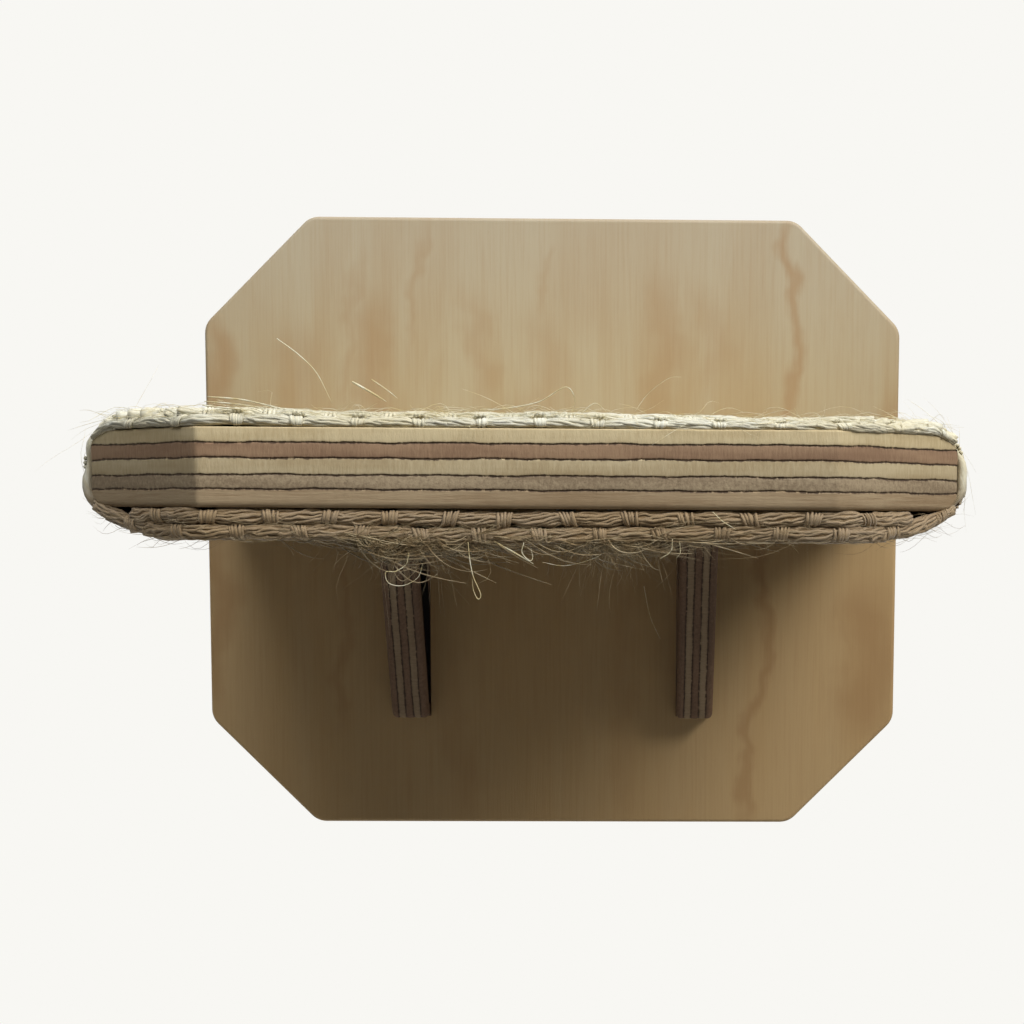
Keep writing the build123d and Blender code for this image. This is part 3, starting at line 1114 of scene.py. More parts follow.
@dataclass
class Wrap:
    """The path of the mat round the board, seen from the front, from its seam underneath.

    It runs left, up, right over the top, down and back. Its upper corners are quarter circles
    and its lower ones long quarter ellipses, all drawn in by the same inset from the mat's skin.
    """

    half_width: float
    low: float
    high: float
    seam: float
    inset: float
    top_round: float = 12.0 * MM
    under_run: float = 28.0 * MM
    under_rise: float = 12.0 * MM

    def __post_init__(self) -> None:
        """Lays the path out as a fine line: straight runs joined by the four corners."""
        turn = np.linspace(0, np.pi / 2, 32)
        run, rise, top = (size - self.inset for size in (self.under_run, self.under_rise, self.top_round))
        inner = self.half_width - self.under_run
        level = self.low + self.under_rise
        under = np.stack([inner + run * np.sin(turn), level - rise * np.cos(turn)], axis=1)
        inner, level = self.half_width - self.top_round, self.high - self.top_round
        over = np.stack([inner + top * np.cos(turn), level + top * np.sin(turn)], axis=1)
        seam = np.array([[self.seam, self.low + self.inset]])
        mirror = np.array([-1.0, 1.0])
        self.line = np.concatenate([seam, under * mirror, over * mirror, over[::-1], under[::-1], seam])
        steps = np.linalg.norm(np.diff(self.line, axis=0), axis=1)
        self.gone = np.concatenate([[0], np.cumsum(steps)])
        self.length = float(self.gone[-1])
        # Where the path crosses the middle of the top.
        self.top_middle = float((self.gone[64] + self.gone[65]) / 2)

    def at(self, place: np.ndarray) -> tuple[np.ndarray, np.ndarray]:
        """The path's points and outward normals.

        Args:
            place: distances along it.

        Returns:
            (n, 2) points in X and Z, and (n, 2) normals.
        """
        reach = 0.4 * MM
        here, there, back = (
            np.stack([np.interp(place + move, self.gone, self.line[:, axis]) for axis in (0, 1)], axis=-1)
            for move in (0, reach, -reach)
        )
        tangent = there - back
        tangent /= np.linalg.norm(tangent, axis=-1, keepdims=True)
        return here, np.stack([-tangent[..., 1], tangent[..., 0]], axis=-1)

    def under_at(self, x: np.ndarray) -> np.ndarray:
        """The height of the mat's lower skin at an X: flat, then a quarter ellipse."""
        past = np.clip((np.abs(x) - (self.half_width - self.under_run)) / self.under_run, 0, 1)
        return self.low + self.under_rise * (1 - np.sqrt(1 - past**2))

    def over_at(self, x: np.ndarray) -> np.ndarray:
        """The height of the mat's upper skin at an X: flat, then a quarter circle."""
        past = np.clip((np.abs(x) - (self.half_width - self.top_round)) / self.top_round, 0, 1)
        return self.high - self.top_round * (1 - np.sqrt(1 - past**2))


@dataclass(frozen=True)
class Yarn:
    """How a yarn is laid: its half sizes, and the strands round its core."""

    width: float
    height: float
    strands: int
    thick: float
    turn: float
    sides: int = 5

    def lay(
        self,
        shape: Shape,
        path: np.ndarray,
        across: np.ndarray,
        out: np.ndarray,
        squeeze: np.ndarray,
        rng: np.random.Generator,
    ) -> None:
        """Adds a core and the strands that wind slowly round it.

        A strand's middle is path + (width-thick)*cos(a)*across + (height-thick)*sin(a)*out, where
        a grows along the yarn and wanders a little, and both sizes shrink where it is squeezed.

        Args:
            shape: where it is added.
            path, across, out: (n, 3) centres and directions.
            squeeze: (n,) 1 where a stitch pinches the yarn and 0 between stitches.
            rng: seeds the wandering.
        """
        count = len(path)
        steps = np.linalg.norm(np.diff(path, axis=0), axis=1)
        gone = np.concatenate([[0], np.cumsum(steps)])
        length = float(gone[-1])
        wide = (self.width - self.thick) * (1.04 - 0.34 * squeeze)
        high = (self.height - self.thick) * (1.10 - 0.50 * squeeze)
        phases = np.arange(self.strands) * 2 * np.pi / self.strands
        wander = np.stack([waves(gone, length, 0.02, 5, rng) for _ in phases])
        stray = np.stack([waves(gone, length, 0.013, 5, rng) for _ in phases])
        angle = phases[:, None] + self.turn * gone[None] + 0.30 * wander
        reach = 1 + 0.13 * stray
        centre = path[None] + ((wide * reach * np.cos(angle))[..., None] * across[None])
        centre = centre + ((high * reach * np.sin(angle))[..., None] * out[None])
        thick = self.thick * (1 + 0.22 * wander * stray) * rng.uniform(0.8, 1.2, (self.strands, 1))
        thick = thick * (1 - 0.12 * squeeze)
        sides = tube_points(centre, across[None], out[None], thick, thick, self.sides)
        tone = rng.uniform(0, 0.035, (self.strands, 1, 1))
        lap = np.arange(self.sides) / self.sides
        uv = np.stack(np.broadcast_arrays(gone[None, :, None] + tone * 90, lap + tone * 40), axis=-1)
        deep = 0.32 - 0.32 * np.sin(angle)[..., None] * np.ones(self.sides) + 0.25 * squeeze[None, :, None]
        shape.add_tubes(sides, uv, np.clip(deep, 0, 1))
        core = tube_points(path[None], across[None], out[None], wide[None] * 0.98, high[None] * 0.98, 10)
        core_uv = np.stack(np.broadcast_arrays(gone[None, :, None], np.arange(10) / 10), axis=-1)
        shape.add_tubes(core, core_uv, np.full((1, count, 10), 0.95))


class Layer(Enum):
    """Which layer of the mat a free front row belongs to."""

    OVER = "over"
    FOLDED = "folded"
    UNDER = "under"


@dataclass(frozen=True)
class EdgeRow:
    """A weft that lies free at the mat's cut front edge, where all of it is seen."""

    layer: Layer
    above: float
    back: float
    first_stitch: int
    slant: float
    widest: float

    @property
    def facing(self) -> float:
        """1 on the board and -1 underneath, the way out of the mat."""
        return 1.0 if self.layer is Layer.OVER else -1.0


@dataclass
class SisalMat:
    """The woven mat: thick wefts that float over groups of thin warps, on a ground cloth.

    The wefts run across the step and wrap round its sides. A warp group crosses over every
    second weft and pinches it, and neighbouring wefts are pinched half a repeat apart.
    Underneath, the mat's ends are folded back, so that two layers are seen from the front.
    """

    board: StepBoard
    row_pitch: float = 3.7 * MM
    warp_pitch: float = 6.8 * MM
    seam_x: float = 14.0 * MM
    seam_gap: float = 0.6 * MM
    yarn_height: float = 1.35 * MM
    yarn_width: float = 1.95 * MM
    thread_height: float = 0.40 * MM
    thread_width: float = 0.52 * MM
    stitch_width: float = 3.0 * MM
    front_gap: float = 2.1 * MM
    seed: int = 11

    def __post_init__(self) -> None:
        """Takes the mat's room from its node."""
        low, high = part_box("sisal_cover")
        board = self.board
        self.under = board.bottom - low[2]
        self.over = high[2] - board.top
        self.back = high[1] - 1.5 * MM
        self.front = board.front + self.front_gap
        self.wrap = Wrap(high[0], low[2], high[2], self.seam_x, 1.75 * MM)

    def settle(self, points: np.ndarray) -> np.ndarray:
        """Lets the finished weave lie as a used mat does: lifted at the left, slack underneath.

        Args:
            points: (..., 3) places.

        Returns:
            The places, moved up or down by smooth functions of X and Y.
        """
        board = self.board
        x, y, z = points[..., 0], points[..., 1], points[..., 2]
        near_front = np.exp(-(((y - board.front) / 0.05) ** 2))
        above = np.clip((z - board.top) / self.over, 0, 1)
        below = np.clip((board.bottom - z) / self.under, 0, 1)
        lift = 1.15 * np.exp(-(((x + 0.080) / 0.033) ** 2)) - 1.15 * np.exp(-(((x - 0.066) / 0.028) ** 2))
        ripple = 0.20 * np.sin(x / 0.0121 + 1.0) + 0.14 * np.sin(x / 0.0053)
        slack = 1.15 * np.exp(-(((x + 0.004) / 0.060) ** 2)) + 0.30 * np.sin(x / 0.0137 + 2.0)
        moved = points.copy()
        moved[..., 2] += MM * above * (lift * near_front + ripple)
        moved[..., 2] -= MM * below * np.clip(slack + 0.3 * np.sin(y / 0.021), -0.2, 1.6)
        return moved

    def pinch(self, place: np.ndarray, row: int) -> np.ndarray:
        """1 where a warp crosses over the weft and near 0 along its float."""
        wave = 0.5 + 0.5 * np.cos(np.pi * place / self.warp_pitch + np.pi * row)
        return wave**3.5

    def stitch_places(self, row: int, start: float, end: float) -> np.ndarray:
        """The middles of the stitches that cross over a row, between two places on the wrap."""
        numbers = np.arange(math.ceil(start / self.warp_pitch), int(end / self.warp_pitch) + 1)
        return numbers[(numbers + row) % 2 == 0] * self.warp_pitch

    def plain_weft(
        self,
        shape: Shape,
        path: np.ndarray,
        out: np.ndarray,
        across: np.ndarray,
        place: np.ndarray,
        row: int,
    ) -> None:
        """One weft away from the front, as a single twisted tube of few sides.

        The centre moves in and out by the pinch, and the ring's radius is
        1 + 0.08*sin(5 angles + twist) + wear, so that strands show as ridges.

        Args:
            shape: where it is added.
            path, out, across: (n, 3) centres and directions.
            place: (n,) distances along the wrap, which the warps follow.
            row: which weft, so that neighbours are pinched in turn.
        """
        rng = np.random.default_rng(self.seed * 1000 + row)
        count, sides = len(place), 8
        pinch = self.pinch(place, row)
        wander = waves(place, 0.5, 0.06, 6, rng)
        centre = path + out * ((0.30 - 0.85 * pinch + 0.10 * wander) * MM)[:, None]
        centre = centre + across * (0.16 * MM * waves(place, 0.5, 0.045, 5, rng))[:, None]
        angle = np.arange(sides) * 2 * np.pi / sides
        twist = place[:, None] * 420.0 + rng.uniform(0, 6)
        body = 1.0 + 0.08 * np.sin(5 * angle[None] + twist) + 0.05 * rng.standard_normal((count, sides))
        height = self.yarn_height * (1.0 - 0.36 * pinch + 0.06 * wander)
        width = self.yarn_width * (1.0 - 0.20 * pinch + 0.05 * wander)
        rings = tube_points(centre, across, out, width[:, None] * body, height[:, None] * body, sides)
        uv = np.stack(np.broadcast_arrays(place[:, None] + row * 0.013, angle[None] / (2 * np.pi)), axis=-1)
        low = 0.55 - 0.45 * np.sin(angle)[None]
        depth = np.clip(low * (0.75 + 0.25 * pinch[:, None]) + 0.35 * pinch[:, None], 0, 1)
        shape.add_tubes(self.settle(rings)[None], uv[None], depth[None])

    def spans(self, y: float) -> list[tuple[float, float]]:
        """Which stretches of the wrap a weft at this depth covers.

        Behind the clips it goes all the way round. Beside a clip it is cut where the board ends.

        Args:
            y: the weft's place from front to back.

        Returns:
            Starts and ends along the wrap.
        """
        board, wrap = self.board, self.wrap
        reach = board.half_width - board.clip + (y - board.front) - 1.0 * MM
        if reach >= board.half_width - 0.5 * MM:
            return [(self.seam_gap, wrap.length - self.seam_gap)]
        lower = np.linspace(0, wrap.gone[32], 400)
        left = float(np.interp(reach, -wrap.at(lower)[0][:, 0], lower))
        upper = np.linspace(wrap.top_middle, wrap.gone[96], 400)
        over = float(np.interp(reach, wrap.at(upper)[0][:, 0], upper)) - wrap.top_middle
        return [
            (self.seam_gap, left),
            (wrap.top_middle - over, wrap.top_middle + over),
            (wrap.length - left + 2 * self.seam_x, wrap.length - self.seam_gap),
        ]

    def rows(self) -> np.ndarray:
        """The depths of the wefts, front to back, behind the edging yarn."""
        return np.arange(self.front + self.row_pitch, self.back - self.yarn_width, self.row_pitch)

    def build_wefts(self, finish: bpy.types.Material) -> list[bpy.types.Object]:
        """Makes all wefts. The two nearest the front are laid strand by strand.

        Args:
            finish: the wefts' material.

        Returns:
            The groups of wefts.
        """
        yarn = Yarn(self.yarn_width, self.yarn_height, 12, 0.42 * MM, 90.0)
        groups: dict[str, Shape] = {}
        for row, y in enumerate(self.rows(), start=1):
            near = row <= 2
            name = "weft_front" if near else f"weft_{'a' if row < 20 else 'b' if row < 38 else 'c'}"
            shape = groups.setdefault(name, Shape())
            for start, end in self.spans(y):
                place = np.linspace(start, end, max(4, int((end - start) / ((0.9 if near else 1.3) * MM))))
                flat, normal = self.wrap.at(place)
                path = np.stack([flat[:, 0], np.full(len(place), y), flat[:, 1]], axis=1)
                out = np.stack([normal[:, 0], np.zeros(len(place)), normal[:, 1]], axis=1)
                across = np.tile([0.0, 1.0, 0.0], (len(place), 1))
                if near:
                    rng = np.random.default_rng(self.seed * 1000 + row)
                    pinch = self.pinch(place, row)
                    path = self.settle(path + out * ((0.25 - 0.6 * pinch) * MM)[:, None])
                    yarn.lay(shape, path, across, out, pinch, rng)
                else:
                    self.plain_weft(shape, path, out, across, place, row)
        return [shape.build(name, finish, "yarn", "depth") for name, shape in groups.items()]

    def edge_rows(self) -> tuple[EdgeRow, ...]:
        """The free rows at the front: one on the board, and one on each layer underneath.

        Returns:
            The rows, from the top down.
        """
        board = self.board
        return (
            EdgeRow(Layer.OVER, 1.20 * MM, 0.0, 0, 0.5 * MM, board.half_width),
            EdgeRow(Layer.FOLDED, 1.85 * MM, 0.35 * MM, 1, 1.5 * MM, board.half_width - 13 * MM),
            EdgeRow(Layer.UNDER, 2.10 * MM, 0.7 * MM, 0, 1.1 * MM, board.half_width),
        )

    def edge_path(self, row: EdgeRow) -> tuple[np.ndarray, np.ndarray, np.ndarray]:
        """The path of a weft that follows the board's front and clips.

        Args:
            row: which free row.

        Returns:
            Centres, directions out of the mat, and directions across the yarn.
        """
        board = self.board
        inset = self.front_gap - 0.3 * MM + row.back
        half, front = board.half_width - 0.8 * MM, board.front + inset
        slope = board.clip - 0.41 * inset - 0.8 * MM
        corners = np.array(
            [(-half, front + slope), (-half + slope, front), (half - slope, front), (half, front + slope)]
        )
        lengths = np.concatenate([[0], np.cumsum(np.linalg.norm(np.diff(corners, axis=0), axis=1))])
        place = np.arange(0, lengths[-1], 0.8 * MM)
        soft = 2.5 * MM
        moves = (-soft, 0, soft)
        x, y = (
            np.mean([np.interp(place + move, lengths, corners[:, axis]) for move in moves], axis=0)
            for axis in (0, 1)
        )
        kept = np.abs(x) <= row.widest
        x, y = x[kept], y[kept]
        if row.layer is Layer.OVER:
            z = self.wrap.over_at(x) - self.over + row.above
        elif row.layer is Layer.FOLDED:
            z = np.full(len(x), board.bottom - row.above)
        else:
            z = self.wrap.under_at(x) + row.above
        path = np.stack([x, y, z], axis=1)
        tangent = np.gradient(path, axis=0)
        tangent /= np.linalg.norm(tangent, axis=1, keepdims=True)
        across = np.cross([0.0, 0.0, 1.0], tangent)
        across /= np.linalg.norm(across, axis=1, keepdims=True)
        return path, np.cross(tangent, across) * row.facing, across

    def build_edges(
        self, yarn_finish: bpy.types.Material, warp_finish: bpy.types.Material
    ) -> list[bpy.types.Object]:
        """Makes the free front rows strand by strand, and the stitches that bind them.

        A stitch runs over its yarn as part of an ellipse, from behind it to its front foot.

        Args:
            yarn_finish: the rows' material.
            warp_finish: the stitches' material.

        Returns:
            A row and its stitches in turn, from the top down.
        """
        made = []
        for number, row in enumerate(self.edge_rows()):
            rng = np.random.default_rng(self.seed * 77 + number)
            over = row.layer is Layer.OVER
            height = 1.25 * MM if over else 1.85 * MM
            yarn = Yarn(1.6 * MM, height, 13, 0.38 * MM if over else 0.44 * MM, 70.0)
            path, out, across = self.edge_path(row)
            place = self.wrap.top_middle + path[:, 0]
            pinch = self.pinch(place, row.first_stitch)
            path = path - out * (0.30 * MM * pinch)[:, None]
            wander = waves(place - place[0], 0.26, 0.05, 5, rng)
            path = path + out * (0.16 * MM * wander)[:, None]
            shape, stitches = Shape(), Shape()
            yarn.lay(shape, self.settle(path), across, out, pinch, rng)
            middles = self.stitch_places(row.first_stitch, place[0] + 1.5 * MM, place[-1] - 1.5 * MM)
            self.stitch(stitches, row, path, out, across, place, middles, height, rng)
            layer = row.layer.value
            made.append(shape.build(f"edge_weft_{layer}", yarn_finish, "yarn", "depth"))
            made.append(stitches.build(f"edge_stitches_{layer}", warp_finish, "yarn", "depth"))
        return made

    def stitch(
        self,
        shape: Shape,
        row: EdgeRow,
        path: np.ndarray,
        out: np.ndarray,
        across: np.ndarray,
        place: np.ndarray,
        middles: np.ndarray,
        height: float,
        rng: np.random.Generator,
    ) -> None:
        """Adds the stitches over one free row, each of a few threads side by side.

        Args:
            shape: where they are added.
            row: which row.
            path, out, across: the row's centres and directions.
            place: distances along the wrap at those centres.
            middles: where the stitches are.
            height: the row's half height.
            rng: seeds their unevenness.
        """
        threads, count, sides = 5, 12, 5
        turn = np.linspace(-0.95, 2.35, count)[None, :, None]
        spread = np.linspace(-1, 1, threads)
        middle = np.repeat(middles, threads) + rng.normal(0, 0.35 * MM, len(middles)).repeat(threads)
        offset = np.tile(spread, len(middles)) * 0.5 * (self.stitch_width - 0.6 * MM)
        offset = offset + rng.normal(0, 0.12 * MM, len(offset))
        lean = rng.normal(0, row.slant, len(middles)).repeat(threads)
        spot = middle + offset
        at, high, wide = (
            np.stack([np.interp(spot, place, line[:, axis]) for axis in range(3)], axis=1)[:, None]
            for line in (path, out, across)
        )
        along = np.cross(wide, high)
        girth = 1 + rng.normal(0, 0.06, (len(spot), 1, 1))
        gather = 1 - 0.30 * (turn / 2.35) ** 2
        line = at + high * np.cos(turn) * 0.80 * height * girth
        line = line - wide * np.sin(turn) * 1.45 * MM * girth
        gathered = (gather - 1) * offset[:, None, None]
        line = line + along * (gathered + lean[:, None, None] * (turn - 0.7) / 3)
        tangent = np.gradient(line, axis=1)
        tangent /= np.linalg.norm(tangent, axis=2, keepdims=True)
        side = np.broadcast_to(along, line.shape)
        up = np.cross(tangent, side)
        taper = np.interp(np.linspace(0, 1, count), [0, 0.15, 0.8, 1], [0.6, 1, 1, 0.55])
        thick = taper[None] * rng.uniform(0.85, 1.2, (len(spot), 1))
        rings = tube_points(line, side, up, thick * 0.46 * MM, thick * 0.34 * MM, sides)
        tone = rng.uniform(0, 3, (len(spot), 1, 1))
        gone = np.linspace(0, 5 * MM, count)[None, :, None]
        uv = np.stack(np.broadcast_arrays(gone + tone, np.arange(sides) / sides + tone), axis=-1)
        deep = np.clip(0.15 + 0.55 * (np.abs(turn) / 2.35) ** 2, 0, 1) * np.ones((len(spot), 1, sides))
        shape.add_tubes(self.settle(rings), uv, deep)

    def build_folded(self, finish: bpy.types.Material) -> bpy.types.Object:
        """Makes the next wefts of the layer that is folded back against the board.

        Args:
            finish: the wefts' material.

        Returns:
            All of them as one object.
        """
        board, shape = self.board, Shape()
        for row in range(1, 4):
            y = self.front + row * self.row_pitch
            beside_clip = board.half_width - board.clip + (y - board.front)
            reach = min(beside_clip, board.half_width - 12 * MM) - 2.0 * MM
            place = np.arange(-reach, reach, 1.1 * MM)
            height = np.full(len(place), board.bottom - 2.1 * MM)
            path = np.stack([place, np.full(len(place), y), height], axis=1)
            out = np.tile([0.0, 0.0, -1.0], (len(place), 1))
            across = np.tile([0.0, 1.0, 0.0], (len(place), 1))
            self.plain_weft(shape, path, out, across, place + 0.2, 200 + row)
        return shape.build("weft_folded", finish, "yarn", "depth")

    def build_warps(self, finish: bpy.types.Material) -> list[bpy.types.Object]:
        """Makes the groups of thin warps, which rise over every second weft.

        The height is A*cos(pi*row + pi*warp), with row counted in weft pitches from the front.

        Args:
            finish: the warps' material.

        Returns:
            The groups of warps.
        """
        board, wrap = self.board, self.wrap
        numbers = np.arange(1, int((wrap.length - 2.0 * MM) / self.warp_pitch) + 1)
        groups: dict[str, Shape] = {}
        sides = 4
        for number in numbers:
            rng = np.random.default_rng(self.seed * 5000 + int(number))
            name = f"warp_{'abc'[int(3 * number / (len(numbers) + 1))]}"
            shape = groups.setdefault(name, Shape())
            for offset in (-1, 0, 1):
                spot = np.array([number * self.warp_pitch + offset * 0.36 * self.stitch_width])
                flat, normal = wrap.at(spot)
                past = max(0.0, abs(float(flat[0, 0])) - (board.half_width - board.clip))
                start = min(board.front + past, board.front + board.clip) + self.front_gap + 0.8 * MM
                y = np.arange(start, self.back, self.row_pitch / 4)
                turns = (y - self.front) / self.row_pitch
                lift = np.cos(np.pi * (turns + number))
                lift = np.sign(lift) * np.abs(lift) ** 0.7
                gather = 0.25 * MM * np.cos(np.pi * (turns + number)) * offset
                sway = 0.15 * MM * waves(y, 0.4, 0.05, 4, rng)
                out = np.array([normal[0, 0], 0.0, normal[0, 1]])
                across = np.array([normal[0, 1], 0.0, -normal[0, 0]])
                path = np.stack([np.full(len(y), flat[0, 0]), y, np.full(len(y), flat[0, 1])], axis=1)
                path = path + out * ((1.05 * lift - 0.05) * MM)[:, None] + across * (sway - gather)[:, None]
                high = np.tile(out, (len(y), 1))
                wide = np.tile(across, (len(y), 1))
                body = 1.0 + 0.08 * rng.standard_normal((len(y), sides))
                width, height = self.thread_width * body, self.thread_height * body
                rings = tube_points(path, wide, high, width, height, sides)
                run = y[:, None] + number * 0.017
                uv = np.stack(np.broadcast_arrays(run, np.arange(sides) / sides), axis=-1)
                depth = np.broadcast_to(0.45 - 0.4 * lift[:, None], rings.shape[:2])
                shape.add_tubes(self.settle(rings)[None], uv[None], depth[None])
        return [shape.build(name, finish, "yarn", "depth") for name, shape in groups.items()]

    def build_ground(self, finish: bpy.types.Material) -> bpy.types.Object:
        """Makes the ground cloth: the wrap's path, 1.3 mm nearer the board, drawn front to back.

        Args:
            finish: the cloth's material.

        Returns:
            The ground cloth.
        """
        board, wrap = self.board, self.wrap
        place = np.linspace(self.seam_gap, wrap.length - self.seam_gap, 420)
        flat, normal = wrap.at(place)
        flat = flat - normal * 1.3 * MM
        start = board.front + np.clip(np.abs(flat[:, 0]) - (board.half_width - board.clip), 0, board.clip)
        share = np.linspace(0, 1, 90)[None, :]
        y = (start[:, None] + 2.6 * MM) * (1 - share) + self.back * share
        points = np.stack(
            [np.broadcast_to(flat[:, :1], y.shape), y, np.broadcast_to(flat[:, 1:], y.shape)], axis=-1
        )
        shape = Shape()
        uv = np.stack(np.broadcast_arrays(place[:, None], y), axis=-1)
        shape.add(self.settle(points), grid_faces(*y.shape, False, False), uv, np.zeros(y.shape))
        made = shape.build("mat_ground", finish, "yarn", "depth")
        wall = made.modifiers.new("wall", "SOLIDIFY")
        wall.thickness = 0.5 * MM
        wall.offset = 0.0
        return made


@dataclass
class Fibres:
    """A bunch of thin hairs, each a bent three-sided tube that ends in a point.

    A hair is start + direction*t + bend*t^2 + curl, with t from 0 to its length.
    """

    name: str
    radius: float
    points: int = 7
    bunches: list[tuple[np.ndarray, np.ndarray]] = field(default_factory=list)

    def free(
        self,
        starts: np.ndarray,
        directions: np.ndarray,
        lengths: np.ndarray,
        droop: float,
        curl: float,
        rng: np.random.Generator,
    ) -> None:
        """Grows hairs with one free end.

        Args:
            starts, directions: (n, 3).
            lengths: (n,).
            droop: how much of its length a hair falls.
            curl: how far it bends aside, as a share of its length.
            rng: seeds the bends.
        """
        t = np.linspace(0, 1, self.points)[None, :, None]
        aside = rng.standard_normal((len(starts), 1, 3)) * curl
        wiggle = rng.standard_normal((len(starts), 1, 3)) * curl * 0.35
        phase = rng.uniform(0, 6, (len(starts), 1, 1))
        fall = np.array([[[0.0, 0.0, -droop]]])
        bend = (aside + fall) * t**2 + wiggle * (np.sin(5 * t + phase) - np.sin(phase)) * t
        paths = starts[:, None] + lengths[:, None, None] * (directions[:, None] * t + bend)
        self.bunches.append((paths, self.radius * rng.uniform(0.6, 1.25, len(starts))))

    def arched(
        self,
        starts: np.ndarray,
        along: np.ndarray,
        out: np.ndarray,
        lengths: np.ndarray,
        rise: np.ndarray,
        rng: np.random.Generator,
    ) -> None:
        """Lays hairs that leave the weave and go back into it: along*t + out*rise*sin(pi*t).

        Args:
            starts, along, out: (n, 3).
            lengths, rise: (n,).
            rng: seeds their unevenness.
        """
        t = np.linspace(0, 1, self.points)[None, :, None]
        skew = t ** rng.uniform(0.7, 1.5, (len(starts), 1, 1))
        side = np.cross(along, out)[:, None] * rng.normal(0, 0.14, (len(starts), 1, 1))
        bow = out[:, None] * rise[:, None, None] * np.sin(np.pi * skew)
        bends = rng.uniform(0.6, 2.2, (len(starts), 1, 1))
        sway = lengths[:, None, None] * side * np.sin(np.pi * t * bends)
        paths = starts[:, None] + along[:, None] * lengths[:, None, None] * t + bow + sway
        self.bunches.append((paths, self.radius * rng.uniform(0.6, 1.25, len(starts))))

    def routed(self, routes: Sequence[np.ndarray], radii: Sequence[float]) -> None:
        """Adds single hairs, each through its own few points on a smooth curve.

        Args:
            routes: each hair's (n, 3) points.
            radii: each hair's radius.
        """
        for route, radius in zip(routes, radii):
            known = np.arange(len(route))
            fine = np.linspace(0, len(route) - 1, 8 * len(route))
            path = np.stack([smooth_through(known, route[:, axis], fine) for axis in range(3)], axis=1)
            self.bunches.append((path[None], np.array([radius])))

    def build(self, finish: bpy.types.Material) -> bpy.types.Object:
        """Closes a tube round every hair and makes the object.

        Args:
            finish: the hairs' material.

        Returns:
            All hairs as one object.
        """
        shape = Shape()
        for paths, radius in self.bunches:
            count = paths.shape[1]
            tangent = np.gradient(paths, axis=1)
            tangent /= np.linalg.norm(tangent, axis=2, keepdims=True) + 1e-12
            helper = np.where(np.abs(tangent[..., 2:]) < 0.8, [[[0.0, 0.0, 1.0]]], [[[1.0, 0.0, 0.0]]])
            across = np.cross(tangent, helper)
            across /= np.linalg.norm(across, axis=2, keepdims=True) + 1e-12
            taper = np.interp(np.linspace(0, 1, count), [0, 0.15, 0.7, 1], [0.75, 1, 0.8, 0.25])
            width = radius[:, None] * taper[None]
            rings = tube_points(paths, across, np.cross(tangent, across), width, width, 3)
            shape.add_tubes(rings, np.zeros((*rings.shape[:3], 2)), np.zeros(rings.shape[:3]))
        return shape.build(self.name, finish, "yarn", "depth")


@dataclass(frozen=True)
class Stray:
    """One hair that is seen by itself: where it runs, in X and Z, in mm, and how far behind the front."""

    route: tuple[tuple[float, float], ...]
    depth: float
    thickness: float = 0.15


@dataclass(frozen=True)
class Tuft:
    """A frayed place underneath, in mm: its middle and spread in X, depth, length and hairs."""

    middle: float
    spread: float
    depth: float
    length: float
    count: int
    curl: float = 0.5


